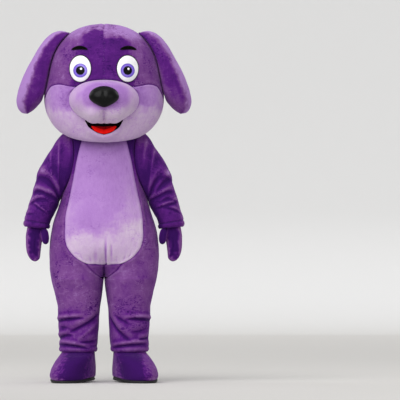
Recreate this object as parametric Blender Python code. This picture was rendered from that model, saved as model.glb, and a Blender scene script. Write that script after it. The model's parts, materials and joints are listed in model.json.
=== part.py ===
"""Dog costume for the stage, standing in its worn pose with nobody inside.

A hollow plush suit hangs from the wearer's shoulders. A foam-backed head, two mittens and two
boots go with it. Sizes are in metres. Heights in the tables are above the floor, and the model's
origin is the point between the wearer's shoulders that carries it. +Z is up, the front faces -Y
and the wearer's left is +X.
"""

import math

import bmesh
import bpy
import numpy as np

# Driving sizes
HOLD_HEIGHT = 1.38  # the wearer's shoulders above the soles
SUIT_WALL = 0.003  # short-pile plush
HEAD_WALL = 0.008  # plush glued on foam
MITTEN_WALL = 0.0025
BOOT_WALL = 0.004
SEAM_HALF = 0.0002  # each piece stops this far short of a seam's line
SEAT_GAP = 0.0003  # between pieces that lie on each other

# Colours, linear RGB, with roughness
FINISHES = {
    "plush_purple": ((0.105, 0.030, 0.240), 0.85),
    "plush_lilac": ((0.430, 0.240, 0.640), 0.85),
    "nose_black": ((0.010, 0.010, 0.012), 0.30),
    "eye_white": ((0.850, 0.850, 0.850), 0.35),
    "iris_violet": ((0.170, 0.110, 0.560), 0.35),
    "felt_black": ((0.008, 0.008, 0.008), 0.70),
    "felt_red": ((0.620, 0.010, 0.010), 0.70),
    "sole_black": ((0.015, 0.015, 0.015), 0.60),
}


def table(columns, *rows):
    """A table as a dictionary of column name to its values."""
    return {name: np.array(values, float) for name, values in zip(columns, zip(*rows))}


# One half of the suit, from the leg's hem to the neck. side is the side seam, inseam the inner edge
# of the leg, front and back the half depths.
SUIT = table(
    ("z", "side", "inseam", "front", "back"),
    (0.166, 0.2350, 0.0450, 0.1150, 0.1150),
    (0.176, 0.2420, 0.0390, 0.1210, 0.1200),
    (0.205, 0.2440, 0.0360, 0.1240, 0.1210),
    (0.240, 0.2410, 0.0330, 0.1220, 0.1210),
    (0.290, 0.2460, 0.0300, 0.1260, 0.1250),
    (0.345, 0.2500, 0.0270, 0.1300, 0.1300),
    (0.400, 0.2500, 0.0230, 0.1340, 0.1380),
    (0.450, 0.2590, 0.0160, 0.1420, 0.1500),
    (0.500, 0.2700, 0.0090, 0.1520, 0.1640),
    (0.561, 0.2850, 0.0030, 0.1690, 0.1800),
    (0.620, 0.2950, 0.0010, 0.1880, 0.1920),
    (0.700, 0.2985, 0.0010, 0.2090, 0.1990),
    (0.780, 0.2930, 0.0010, 0.2190, 0.1960),
    (0.865, 0.2750, 0.0010, 0.2160, 0.1820),
    (0.945, 0.2500, 0.0010, 0.2030, 0.1650),
    (1.015, 0.2290, 0.0010, 0.1880, 0.1540),
    (1.110, 0.2140, 0.0010, 0.1720, 0.1480),
    (1.210, 0.2100, 0.0010, 0.1600, 0.1460),
    (1.300, 0.2030, 0.0010, 0.1470, 0.1390),
    (1.350, 0.1900, 0.0010, 0.1360, 0.1300),
    (1.385, 0.1680, 0.0010, 0.1240, 0.1200),
    (1.405, 0.1450, 0.0010, 0.1140, 0.1110),
    (1.425, 0.1150, 0.0010, 0.1040, 0.1030),
)
CROTCH_Z = 0.561
BLEND_HEIGHT = 0.190  # above the crotch, where two legs turn into one body
LEG_ROUND = 0.80
TORSO_ROUND = 0.86

# The seam round the belly panel and down the gusset to the crotch: half width at each height
BELLY_SEAM = table(
    ("z", "x"),
    (0.561, 0.0010),
    (0.572, 0.0200),
    (0.590, 0.0450),
    (0.615, 0.0740),
    (0.645, 0.0980),
    (0.662, 0.1300),
    (0.680, 0.1560),
    (0.705, 0.1800),
    (0.745, 0.2040),
    (0.800, 0.2140),
    (0.880, 0.2110),
    (0.990, 0.1930),
    (1.100, 0.1700),
    (1.210, 0.1490),
    (1.320, 0.1200),
    (1.425, 0.0850),
)
BELLY_BOTTOM_Z = 0.645
BELLY_SAG = 0.007  # how much lower the panel's bottom edge is in the middle

# The armhole, an oval on the side of the suit
ARMHOLE_Z, ARMHOLE_HALF_HEIGHT, ARMHOLE_HALF_DEPTH = 1.200, 0.185, 0.105
ARMHOLE_STEPS = 16

# The sleeve: the ends of each ring in the front view, its half depth and its middle's y
SLEEVE = table(
    ("outer_x", "outer_z", "inner_x", "inner_z", "depth", "y"),
    (0.1680, 1.385, 0.2290, 1.015, 0.105, 0.000),
    (0.2360, 1.340, 0.2410, 0.985, 0.106, 0.000),
    (0.2850, 1.270, 0.2460, 0.966, 0.102, -0.002),
    (0.3290, 1.203, 0.2510, 0.952, 0.097, -0.005),
    (0.3640, 1.126, 0.2590, 0.937, 0.092, -0.008),
    (0.3800, 1.062, 0.2670, 0.922, 0.088, -0.012),
    (0.4010, 0.994, 0.2760, 0.906, 0.084, -0.014),
    (0.4170, 0.938, 0.2860, 0.889, 0.080, -0.016),
    (0.4330, 0.893, 0.2940, 0.867, 0.076, -0.018),
    (0.4370, 0.864, 0.2960, 0.846, 0.070, -0.018),
    (0.4300, 0.846, 0.3020, 0.834, 0.056, -0.018),
    (0.4193, 0.850, 0.3217, 0.848, 0.0393, -0.018),
)

# The mitten: inner and outer edge in the front view and half thickness at each height
MITTEN = table(
    ("z", "inner", "outer", "thick"),
    (0.6550, 0.3740, 0.3760, 0.0010),
    (0.6600, 0.3610, 0.3905, 0.0120),
    (0.6780, 0.3465, 0.4090, 0.0225),
    (0.7150, 0.3430, 0.4225, 0.0320),
    (0.7550, 0.3380, 0.4265, 0.0370),
    (0.7900, 0.3270, 0.4265, 0.0390),
    (0.8300, 0.3232, 0.4210, 0.0385),
    (0.8500, 0.3241, 0.4169, 0.0370),
    (0.8900, 0.3330, 0.4080, 0.0330),
)
MITTEN_Y = -0.018

# The thumb: its middle line and radius, from root to tip
THUMB = table(
    ("x", "y", "z", "radius"),
    (0.3300, -0.0420, 0.8290, 0.0190),
    (0.3230, -0.0560, 0.8080, 0.0215),
    (0.3190, -0.0610, 0.7850, 0.0210),
    (0.3180, -0.0610, 0.7660, 0.0180),
    (0.3190, -0.0600, 0.7540, 0.0105),
    (0.3195, -0.0595, 0.7500, 0.0010),
)

# The boot's upper: rings from the sole to the top inside the leg. toe_out is how far the toe is turned out.
BOOT = table(
    ("z", "middle", "half_width", "front", "back", "toe_out"),
    (0.0143, 0.1640, 0.1080, 0.2550, 0.1130, 1.00),
    (0.0380, 0.1640, 0.1145, 0.2670, 0.1220, 1.00),
    (0.0700, 0.1615, 0.1130, 0.2590, 0.1250, 0.95),
    (0.1030, 0.1565, 0.1080, 0.2360, 0.1240, 0.75),
    (0.1330, 0.1495, 0.1000, 0.1900, 0.1190, 0.45),
    (0.1570, 0.1420, 0.0915, 0.1220, 0.1100, 0.12),
    (0.1680, 0.1400, 0.0885, 0.1070, 0.1070, 0.00),
    (0.2350, 0.1400, 0.0830, 0.0960, 0.0960, 0.00),
)
TOE_OUT_SLOPE = 0.20
SOLE_THICK = 0.014
SOLE_EDGE = 0.003  # the sole shows this far outside the upper

# The head: rings from the rim to the crown. z is the ring's height at its middle.
HEAD = table(
    ("z", "side", "front", "back"),
    (1.3614, 0.2130, 0.2030, 0.1880),
    (1.3770, 0.2450, 0.2360, 0.2120),
    (1.4120, 0.2830, 0.2640, 0.2350),
    (1.4550, 0.3080, 0.2830, 0.2520),
    (1.5000, 0.3210, 0.2940, 0.2630),
    (1.5520, 0.3265, 0.3000, 0.2720),
    (1.6100, 0.3215, 0.3010, 0.2780),
    (1.6640, 0.3120, 0.2980, 0.2800),
    (1.7200, 0.3010, 0.2900, 0.2790),
    (1.7700, 0.2860, 0.2770, 0.2710),
    (1.8240, 0.2590, 0.2520, 0.2490),
    (1.8720, 0.2190, 0.2140, 0.2130),
    (1.9070, 0.1740, 0.1700, 0.1700),
    (1.9320, 0.1210, 0.1190, 0.1190),
    (1.9455, 0.0640, 0.0630, 0.0630),
    (1.9500, 0.0000, 0.0000, 0.0000),
)
RIM_TILT = 0.30  # the chin hangs lower than the nape by this slope at the rim
TILT_TOP_Z, TILT_SPAN = 1.62, 0.261

# The muzzle's seam, an oval in the head's angle and ring height
MUZZLE_ANGLE, MUZZLE_Z, MUZZLE_HALF_Z = math.radians(35.3), 1.545, 0.093
MUZZLE_REACH = 0.135
MASK_JOIN = math.radians(28.0)  # where the muzzle's seam meets the mask's edge
# The mask's edge, where purple meets lilac
MASK = table(
    ("angle", "z"),
    (28.0, 1.6018),
    (38.0, 1.6080),
    (50.0, 1.6160),
    (62.0, 1.6090),
    (73.0, 1.5750),
    (83.0, 1.5250),
    (92.0, 1.4680),
    (99.0, 1.4120),
    (104.0, 1.3614),
)
MASK_ANGLES = np.radians((28, 38, 50, 62, 73, 83, 92, 99, 104))
MUZZLE_TOP_ANGLES = np.radians((0, 10, 19, 28))
BACK_ANGLES = np.radians((118, 133, 149, 165, 180))
CHIN_ANGLES = np.radians((86, 68, 51, 37, 26, 17, 8, 0))

# The ear: the ends of each ring in the front view, its half depth, and how much of its inner face lies on the head
EAR = table(
    ("outer_x", "outer_z", "inner_x", "inner_z", "depth", "lies"),
    (0.2080, 1.9080, 0.1960, 1.8980, 0.034, 1.0),
    (0.2380, 1.9120, 0.2080, 1.8860, 0.058, 1.0),
    (0.2720, 1.9030, 0.2360, 1.8560, 0.080, 1.0),
    (0.3080, 1.8780, 0.2590, 1.8270, 0.094, 1.0),
    (0.3530, 1.8240, 0.2800, 1.7850, 0.103, 1.0),
    (0.3860, 1.7660, 0.2960, 1.7400, 0.108, 1.0),
    (0.4180, 1.7080, 0.3080, 1.6900, 0.111, 1.0),
    (0.4460, 1.6470, 0.3180, 1.6360, 0.111, 1.0),
    (0.4670, 1.5850, 0.3260, 1.5840, 0.106, 0.9),
    (0.4770, 1.5310, 0.3380, 1.5420, 0.094, 0.4),
    (0.4670, 1.4870, 0.3620, 1.5020, 0.072, 0.0),
    (0.4420, 1.4640, 0.3930, 1.4740, 0.040, 0.0),
    (0.4180, 1.4600, 0.4160, 1.4604, 0.002, 0.0),
)
EAR_CLEAR = 0.0024

# The tail's middle line and its half width. It hangs a little to the wearer's right.
TAIL = table(
    ("x", "y", "z", "radius"),
    (0.0000, 0.2060, 0.7400, 0.0360),
    (-0.0010, 0.2330, 0.7330, 0.0450),
    (-0.0070, 0.2560, 0.7080, 0.0490),
    (-0.0220, 0.2680, 0.6600, 0.0505),
    (-0.0400, 0.2700, 0.6000, 0.0515),
    (-0.0545, 0.2680, 0.5350, 0.0500),
    (-0.0625, 0.2650, 0.4700, 0.0450),
    (-0.0645, 0.2620, 0.4150, 0.0370),
    (-0.0640, 0.2600, 0.3820, 0.0240),
    (-0.0635, 0.2590, 0.3680, 0.0100),
    (-0.0635, 0.2588, 0.3650, 0.0010),
)

# Folds on the suit. side is the half they are on, with 0 for both. around runs from -1 at the front
# middle through 0 at the side seam to 1 at the back middle, and z is the height, at both ends.
SUIT_FOLDS = table(
    ("side", "around_a", "z_a", "around_b", "z_b", "width", "depth"),
    (-1, -0.72, 0.372, 0.20, 0.352, 0.018, 0.013),
    (-1, -0.95, 0.405, -0.52, 0.268, 0.024, 0.015),
    (-1, -0.50, 0.262, 0.25, 0.250, 0.014, 0.012),
    (-1, -0.95, 0.208, -0.10, 0.226, 0.013, 0.012),
    (1, -0.62, 0.378, 0.20, 0.358, 0.018, 0.013),
    (1, -0.95, 0.395, -0.58, 0.285, 0.024, 0.015),
    (1, -0.45, 0.292, 0.15, 0.300, 0.014, 0.010),
    (1, -0.92, 0.205, 0.15, 0.222, 0.013, 0.012),
    (0, 0.92, 0.600, 0.45, 0.622, 0.018, 0.018),
    (0, 0.88, 0.535, 0.12, 0.625, 0.022, 0.013),
    (-1, 0.85, 0.470, 0.08, 0.535, 0.024, 0.014),
    (1, 0.85, 0.490, 0.10, 0.515, 0.024, 0.014),
    (0, 0.80, 0.405, -0.10, 0.425, 0.022, 0.012),
    (0, 0.90, 0.245, 0.25, 0.225, 0.018, 0.010),
)
FOLD_ARC = 0.30  # metres of cloth from a middle to the side seam, for measuring across a fold

# Folds on the sleeve: ring number and turn at both ends. Turn 0 is the outside, 90 the front.
SLEEVE_FOLDS = table(
    ("ring_a", "turn_a", "ring_b", "turn_b", "width", "depth"),
    (1.1, 70.0, 2.6, 150.0, 0.35, 0.008),
    (4.3, 20.0, 5.3, 150.0, 0.42, 0.012),
    (5.5, 10.0, 5.9, 120.0, 0.30, 0.009),
    (6.5, -20.0, 6.9, 110.0, 0.36, 0.009),
    (4.6, 215.0, 5.6, 340.0, 0.40, 0.010),
    (6.4, 230.0, 7.1, 320.0, 0.34, 0.009),
    (7.9, 190.0, 7.7, 265.0, 0.30, 0.010),
)


# Curves and surfaces


def smooth(x, xs, ys):
    """A monotone cubic through the points (xs, ys), with xs rising."""
    step = np.diff(xs)
    rise = np.diff(ys) / step
    slope = np.empty(len(xs))
    slope[0], slope[-1] = rise[0], rise[-1]
    before, after = rise[:-1], rise[1:]
    weight_a, weight_b = 2 * step[1:] + step[:-1], step[1:] + 2 * step[:-1]
    turning = before * after <= 0
    safe = np.where(turning, 1.0, before), np.where(turning, 1.0, after)
    mean = (weight_a + weight_b) / (weight_a / safe[0] + weight_b / safe[1])
    slope[1:-1] = np.where(turning, 0.0, mean)
    x = np.clip(x, xs[0], xs[-1])
    i = np.clip(np.searchsorted(xs, x, side="right") - 1, 0, len(xs) - 2)
    s = (x - xs[i]) / step[i]
    ends = (2 * s**3 - 3 * s**2 + 1) * ys[i] + (3 * s**2 - 2 * s**3) * ys[i + 1]
    tangents = (s**3 - 2 * s**2 + s) * slope[i] + (s**3 - s**2) * slope[i + 1]
    return ends + tangents * step[i]


def along_rows(rows, column, s):
    """A column of a table at row number s, between rows too."""
    return smooth(s, np.arange(len(rows[column]), dtype=float), rows[column])


def signed_power(x, power):
    return np.sign(x) * np.abs(x) ** power


def points(x, y, z):
    return np.stack(np.broadcast_arrays(x, y, z), -1).astype(float)


def unit(vectors):
    return vectors / np.linalg.norm(vectors, axis=-1, keepdims=True)


def normals(surface, a, b, step_a, step_b):
    """Unit normals of surface(a, b) by differences."""
    along_a = surface(a + step_a, b) - surface(a - step_a, b)
    along_b = surface(a, b + step_b) - surface(a, b - step_b)
    return unit(np.cross(along_a, along_b))


def fold_height(across, along, width):
    """A fold's profile: a trough with a soft roll above it, fading out at both ends."""
    fade = np.clip(1 - np.abs(2 * along - 1) ** 3, 0, 1)
    inside = (along > 0) & (along < 1)
    trough = -np.exp(-((across / width) ** 2))
    roll = 0.65 * np.exp(-(((across - 1.7 * width) / (1.1 * width)) ** 2))
    return np.where(inside, fade * (trough + roll), 0.0)


# The suit


def suit_base(side, face, t, z):
    """The suit's outside: face is -1 in front and 1 behind, and t runs from the middle, or from the inseam, to the side seam."""
    outer = smooth(z, SUIT["z"], SUIT["side"])
    inner = smooth(z, SUIT["z"], SUIT["inseam"])
    depth = smooth(z, SUIT["z"], SUIT["front" if face < 0 else "back"])
    rise = np.clip((z - CROTCH_Z) / BLEND_HEIGHT, 0, 1)
    torso = np.sin(np.pi / 2 * rise) ** 0.8
    leg_x = inner + (outer - inner) * (1 - np.cos(np.pi * t)) / 2
    leg_y = depth * signed_power(np.sin(np.pi * t), LEG_ROUND)
    torso_x = outer * np.sin(np.pi / 2 * t)
    torso_y = depth * signed_power(np.cos(np.pi / 2 * t), TORSO_ROUND)
    x = (1 - torso) * leg_x + torso * torso_x
    y = (1 - torso) * leg_y + torso * torso_y
    return points(side * x, face * y, z)


def suit_folds(side, face, t, z):
    """How far the folds move the cloth outwards."""
    around = face * (1 - t)
    height = np.zeros(np.broadcast(t, z).shape)
    for i in range(len(SUIT_FOLDS["side"])):
        fold = {name: column[i] for name, column in SUIT_FOLDS.items()}
        if fold["side"] not in (0, side):
            continue
        run = (fold["around_b"] - fold["around_a"]) * FOLD_ARC, fold["z_b"] - fold["z_a"]
        length = math.hypot(*run)
        dx, dz = (around - fold["around_a"]) * FOLD_ARC, z - fold["z_a"]
        along = (dx * run[0] + dz * run[1]) / length**2
        up = math.copysign(1.0, run[0])
        across = up * (dz * run[0] - dx * run[1]) / length
        height = height + fold["depth"] * fold_height(across, along, fold["width"])
    return height * (1 - np.abs(around) ** 10)


def suit_points(side, face, t, z):
    """The suit's outer and inner points with its folds."""
    t, z = np.broadcast_arrays(np.asarray(t, float), np.asarray(z, float))

    def base(t, z):
        return suit_base(side, face, t, z)

    outward = -side * face * normals(base, t, z, 0.01, 0.002)
    on_middle = (t < 1e-6) & (z > CROTCH_Z + 1e-6)
    outward = np.where(on_middle[..., None], unit(outward * (1e-9, 1, 1)), outward)
    outer = base(t, z) + outward * suit_folds(side, face, t, z)[..., None]
    return outer, outer - outward * SUIT_WALL


def t_at_x(face, x, z):
    """Where the half width x falls on the suit at height z, by halving."""
    low, high = np.zeros_like(z), np.ones_like(z)
    for _ in range(40):
        middle = (low + high) / 2
        short = suit_base(1, face, middle, z)[..., 0] < x
        low, high = np.where(short, middle, low), np.where(short, high, middle)
    return (low + high) / 2


def armhole_turns():
    """Turns round the armhole, from its top round by the front."""
    return 2 * np.pi * np.arange(ARMHOLE_STEPS) / ARMHOLE_STEPS


def t_at_armhole(face, z):
    """The armhole's edge on the suit at height z, or the side seam above and below it."""
    height = np.clip(np.abs(z - ARMHOLE_Z) / ARMHOLE_HALF_HEIGHT, 0, 1)
    half_depth = ARMHOLE_HALF_DEPTH * np.sqrt(1 - height**2)
    depth = smooth(z, SUIT["z"], SUIT["front" if face < 0 else "back"])
    return 2 / np.pi * np.arccos((half_depth / depth) ** (1 / TORSO_ROUND))


ARMHOLE_ROWS = ARMHOLE_Z - ARMHOLE_HALF_HEIGHT * np.cos(2 * np.pi * np.arange(ARMHOLE_STEPS // 2 + 1) / ARMHOLE_STEPS)
BODY_ROWS = np.array((0.680, 0.710, 0.755, 0.810, 0.870, 0.930, 0.975))
CROTCH_ROWS = np.array((0.572, 0.590, 0.615, BELLY_BOTTOM_Z))
LEG_ROWS = np.concatenate(
    [(0.166, 0.178), np.arange(0.203, 0.440, 0.0235), (0.472, 0.505, 0.535, CROTCH_Z)]
)
NECK_ROWS = np.array((1.405, 1.425))
TOP_ROWS = np.concatenate([BODY_ROWS, ARMHOLE_ROWS, NECK_ROWS])


# The sleeve


def sleeve_ring(side, ring, turn):
    """The sleeve without folds: ring is its row in the table, and turn goes from the outside round by the front."""
    outer_x, outer_z = (along_rows(SLEEVE, c, ring) for c in ("outer_x", "outer_z"))
    inner_x, inner_z = (along_rows(SLEEVE, c, ring) for c in ("inner_x", "inner_z"))
    swing, lean = np.cos(turn), np.sin(turn)
    x = (outer_x + inner_x) / 2 + (outer_x - inner_x) / 2 * swing
    z = (outer_z + inner_z) / 2 + (outer_z - inner_z) / 2 * swing
    y = along_rows(SLEEVE, "y", ring) - along_rows(SLEEVE, "depth", ring) * lean
    edge = armhole_point(turn)
    flat = points(
        (SLEEVE["outer_x"][0] + SLEEVE["inner_x"][0]) / 2
        + (SLEEVE["outer_x"][0] - SLEEVE["inner_x"][0]) / 2 * swing,
        -ARMHOLE_HALF_DEPTH * lean,
        ARMHOLE_Z + ARMHOLE_HALF_HEIGHT * swing,
    )
    near = np.clip(1 - ring, 0, None)[..., None] ** 2
    ring_points = points(x, y, z) + near * (edge - flat)
    return ring_points * (side, 1, 1)


def armhole_point(turn):
    """The armhole's edge on the wearer's left at each turn."""
    z = ARMHOLE_Z + ARMHOLE_HALF_HEIGHT * np.cos(turn)
    front = suit_base(1, -1, t_at_armhole(-1, z), z)
    back = suit_base(1, 1, t_at_armhole(1, z), z)
    return np.where((np.sin(turn) > 0)[..., None], front, back)


def sleeve_folds(ring, turn):
    height = np.zeros(np.broadcast(ring, turn).shape)
    for i in range(len(SLEEVE_FOLDS["width"])):
        fold = {name: column[i] for name, column in SLEEVE_FOLDS.items()}
        start, stop = math.radians(fold["turn_a"]), math.radians(fold["turn_b"])
        turned = (turn - start + np.pi / 2) % (2 * np.pi) - np.pi / 2
        along = turned / (stop - start)
        middle = fold["ring_a"] + (fold["ring_b"] - fold["ring_a"]) * along
        height = height + fold["depth"] * fold_height(middle - ring, along, fold["width"])
    return height


def sleeve_points(side, ring, turn):
    ring, turn = np.broadcast_arrays(np.asarray(ring, float), np.asarray(turn, float))

    def base(ring, turn):
        return sleeve_ring(side, ring, turn)

    outward = -side * normals(base, np.maximum(ring, 0.02), turn, 0.02, 0.02)
    outer = base(ring, turn) + outward * sleeve_folds(ring, turn)[..., None]
    return outer, outer - outward * SUIT_WALL


# The head


def crown_mirrored(column):
    """A head column by ring number, carried one ring past the crown so that the top is round."""
    values = HEAD[column]
    past = values[-2] if column == "z" else -values[-2]
    return np.append(values, past)


HEAD_RINGS = {column: crown_mirrored(column) for column in HEAD}
CROWN = len(HEAD["z"]) - 1


def head_column(column, ring):
    return smooth(ring, np.arange(CROWN + 2.0), HEAD_RINGS[column])


def ring_at_z(z):
    """The head's ring number at a ring height."""
    fine = np.linspace(0, CROWN, 600)
    return np.interp(z, head_column("z", fine), fine)


def head_base(angle, ring):
    """The head's outside on the wearer's left: angle 0 is the front and 180 degrees the back."""
    height = head_column("z", ring)
    facing = np.cos(angle)
    depth = np.where(facing > 0, head_column("front", ring), head_column("back", ring))
    tilt = RIM_TILT * np.clip((TILT_TOP_Z - height) / TILT_SPAN, 0, 1) ** 1.3
    x, y = head_column("side", ring) * np.sin(angle), -depth * facing
    return points(x, y, height + tilt * y)


def head_points(angle, ring):
    angle, ring = np.broadcast_arrays(np.asarray(angle, float), np.asarray(ring, float))
    below_crown = np.minimum(ring, CROWN - 0.05)
    outward = normals(head_base, angle, below_crown, 0.01, 0.02)
    outward = np.where((ring > CROWN - 0.01)[..., None], (0.0, 0.0, 1.0), outward)
    outer = head_base(angle, ring)
    return outer, outer - outward * HEAD_WALL


def muzzle_share(angle, ring):
    """0 in the muzzle's middle and 1 on its seam."""
    across = angle / MUZZLE_ANGLE
    up = (head_column("z", ring) - MUZZLE_Z) / MUZZLE_HALF_Z
    return np.hypot(across, up)


def muzzle_reach(share, x):
    """How far the muzzle stands in front of the head."""
    dome = np.clip(1 - np.clip(share, 0, 1) ** 2.5, 0, 1) ** 0.5
    philtrum = 0.006 * np.exp(-((x / 0.012) ** 2)) * np.clip(1 - share, 0, 1) ** 0.5
    return MUZZLE_REACH * dome - philtrum


def muzzle_base(turn, share):
    """The muzzle's outside: turn goes from the wearer's left up to the top, share from its middle to its seam."""
    angle = MUZZLE_ANGLE * share * np.cos(turn)
    ring = ring_at_z(MUZZLE_Z + MUZZLE_HALF_Z * share * np.sin(turn))
    base = head_base(angle, ring)
    return base - points(0.0, muzzle_reach(share, base[..., 0]), 0.0)


def face_y(x, z):
    """The y of the head's front, muzzle included, at a place seen from the front."""
    ring, angle = ring_at_z(z), 0.0
    for _ in range(12):
        angle = np.arcsin(np.clip(x / head_column("side", ring), -1, 1))
        ring = ring_at_z(head_column("z", ring) + z - head_base(angle, ring)[..., 2])
    base = head_base(angle, ring)
    return base[..., 1] - muzzle_reach(muzzle_share(angle, ring), x)


# Making meshes


def finish_for(slot):
    material = bpy.data.materials.get(slot)
    if material is None:
        colour, roughness = FINISHES[slot]
        material = bpy.data.materials.new(slot)
        material.use_nodes = True
        shader = material.node_tree.nodes["Principled BSDF"]
        shader.inputs["Base Color"].default_value = (*colour, 1.0)
        shader.inputs["Roughness"].default_value = roughness
    return material


def add_piece(name, vertices, faces, slot):
    """One named piece in the costume's collection, shaded smooth, with its place in its mesh."""
    mesh = bpy.data.meshes.new(name)
    mesh.from_pydata(np.asarray(vertices) - (0, 0, HOLD_HEIGHT), [], faces)
    work = bmesh.new()
    work.from_mesh(mesh)
    bmesh.ops.remove_doubles(work, verts=work.verts, dist=2e-5)
    bmesh.ops.recalc_face_normals(work, faces=work.faces)
    work.to_mesh(mesh)
    work.free()
    mesh.shade_smooth()
    mesh.set_sharp_from_angle(angle=math.radians(50))
    mesh.materials.append(finish_for(slot))
    piece = bpy.data.objects.new(name, mesh)
    bpy.data.collections["dog_costume"].objects.link(piece)
    return piece


def trimmed(grid, edges):
    """The grid with the named edges drawn back by half a seam's gap. edges holds first and last row, first and last column."""
    grid = grid.copy()
    for edge, (border, inside) in {
        "first_row": (np.s_[0], np.s_[1]),
        "last_row": (np.s_[-1], np.s_[-2]),
        "first_column": (np.s_[:, 0], np.s_[:, 1]),
        "last_column": (np.s_[:, -1], np.s_[:, -2]),
    }.items():
        if edge not in edges:
            continue
        away = grid[inside] - grid[border]
        seam = unit(np.gradient(grid[border], axis=0))
        away = away - seam * np.sum(away * seam, -1, keepdims=True)
        length = np.linalg.norm(away, axis=-1, keepdims=True)
        grid[border] = grid[border] + away * SEAM_HALF / np.maximum(length, SEAM_HALF)
    return grid


def split(quads, spots, towards):
    """Triangles of quads, each cut along the diagonal whose middle lies further towards a direction."""
    a, b, c, d = quads.T
    first = np.sum((spots[a] + spots[c] - spots[b] - spots[d]) * towards, -1) > 0
    one = np.stack([np.stack([a, b, c], -1), np.stack([a, c, d], -1)], 1)
    other = np.stack([np.stack([a, b, d], -1), np.stack([b, c, d], -1)], 1)
    return np.where(first[:, None, None], one, other).reshape(-1, 3)


def wall(name, outer, inner, slot, seams=(), around=False, form=None):
    """A wall of cloth between two grids of points. around joins the last column to the first, and form is the grid whose shape decides the diagonals, where that isn't the outer one."""
    outer, inner = trimmed(outer, seams), trimmed(inner, seams)
    form = outer if form is None else form
    rows, columns = outer.shape[:2]
    numbers = np.arange(rows * columns).reshape(rows, columns)
    if around:
        numbers = np.concatenate([numbers, numbers[:, :1]], 1)
    spots = np.concatenate([outer.reshape(-1, 3), inner.reshape(-1, 3)])
    count = rows * columns
    corners = numbers[:-1, :-1], numbers[:-1, 1:], numbers[1:, 1:], numbers[1:, :-1]
    quads = np.stack([corner.ravel() for corner in corners], -1)
    outside = split(quads, form.reshape(-1, 3), (spots[quads] - spots[quads + count]).mean(1))
    faces = [outside, outside[:, ::-1] + count]
    borders = [(numbers[0], numbers[1]), (numbers[-1], numbers[-2])]
    if not around:
        borders += [(numbers[:, 0], numbers[:, 1]), (numbers[:, -1], numbers[:, -2])]
    for border, beside in borders:
        rim = np.stack([border[:-1], border[1:], border[1:] + count, border[:-1] + count], -1)
        inwards = (spots[beside] - spots[border])[:-1]
        faces.append(split(rim, spots, inwards))
    return add_piece(name, spots, np.concatenate(faces).tolist(), slot)


def solid_of_rings(name, rings, slot, start=None, end=None):
    """A closed form through rings of points, with a point at each end."""
    rows, columns = rings.shape[:2]
    faces = [
        [row * columns + c, row * columns + (c + 1) % columns]
        + [(row + 1) * columns + (c + 1) % columns, (row + 1) * columns + c]
        for row in range(rows - 1)
        for c in range(columns)
    ]
    start = rings[0].mean(0) if start is None else start
    end = rings[-1].mean(0) if end is None else end
    first, last = rows * columns, rows * columns + 1
    for c in range(columns):
        faces.append([first, (c + 1) % columns, c])
        faces.append([last, (rows - 1) * columns + c, (rows - 1) * columns + (c + 1) % columns])
    vertices = np.concatenate([rings.reshape(-1, 3), [start, end]])
    return add_piece(name, vertices, faces, slot)


def side_name(stem, side):
    return f"{stem}_{'left' if side > 0 else 'right'}"


# The pieces of the suit


def suit_panel(name, side, face, z, t_first, t_last, columns, slot):
    """A panel of the suit between two seams, from t_first to t_last at each height."""
    share = np.linspace(0, 1, columns)
    t = t_first[:, None] + (t_last - t_first)[:, None] * share
    outer, inner = suit_points(side, face, t, z[:, None])
    return wall(name, outer, inner, slot, ("first_column", "last_column"))


def make_suit_fronts():
    z = np.concatenate([LEG_ROWS, CROTCH_ROWS, TOP_ROWS])
    inside = t_at_x(-1, smooth(z, BELLY_SEAM["z"], BELLY_SEAM["x"]), z)
    inside = np.where(z > CROTCH_Z, inside, 0.0)
    for side in (1, -1):
        name = side_name("suit_front", side)
        suit_panel(name, side, -1, z, inside, t_at_armhole(-1, z), 8, "plush_purple")


def make_suit_backs():
    z = np.concatenate([LEG_ROWS, CROTCH_ROWS, TOP_ROWS])
    for side in (1, -1):
        name = side_name("suit_back", side)
        suit_panel(name, side, 1, z, 0.0 * z, t_at_armhole(1, z), 9, "plush_purple")


def across_middle(z, columns, lowered):
    """Outer and inner grids of a panel that crosses the front's middle between the belly seams."""
    halves = []
    share = np.linspace(0, 1, columns // 2 + 1)
    edge = t_at_x(-1, smooth(z, BELLY_SEAM["z"], BELLY_SEAM["x"]), z)
    t = edge[:, None] * share
    height = z[:, None] - lowered[:, None] * (1 - share**2)
    for side in (-1, 1):
        halves.append(suit_points(side, -1, t, height))
    grids = []
    for layer in (0, 1):
        right, left = halves[0][layer][:, :0:-1], halves[1][layer]
        grids.append(np.concatenate([right, left], 1))
    return grids


def make_belly():
    z = np.concatenate([(BELLY_BOTTOM_Z,), TOP_ROWS])
    lowered = BELLY_SAG * np.clip((0.80 - z) / (0.80 - BELLY_BOTTOM_Z), 0, 1)
    outer, inner = across_middle(z, 10, lowered)
    seams = ("first_row", "first_column", "last_column")
    wall("belly_panel", outer, inner, "plush_lilac", seams)


def make_gusset():
    """The small panel between the belly and the crotch."""
    z = CROTCH_ROWS
    lowered = BELLY_SAG * (z >= BELLY_BOTTOM_Z)
    outer, inner = across_middle(z, 10, lowered)
    seams = ("last_row", "first_column", "last_column")
    wall("crotch_gusset", outer, inner, "plush_purple", seams)


def make_sleeves():
    rings = np.concatenate([(0.012, 0.5, 1.0, 1.6, 2.3, 3.1), np.arange(3.8, 8.1, 0.6), (8.6, 9.3, 10.0, 11.0)])
    turns = armhole_turns()
    for side in (1, -1):
        outer, inner = sleeve_points(side, rings[:, None], turns)
        wall(side_name("sleeve", side), outer, inner, "plush_purple", around=True)


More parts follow.
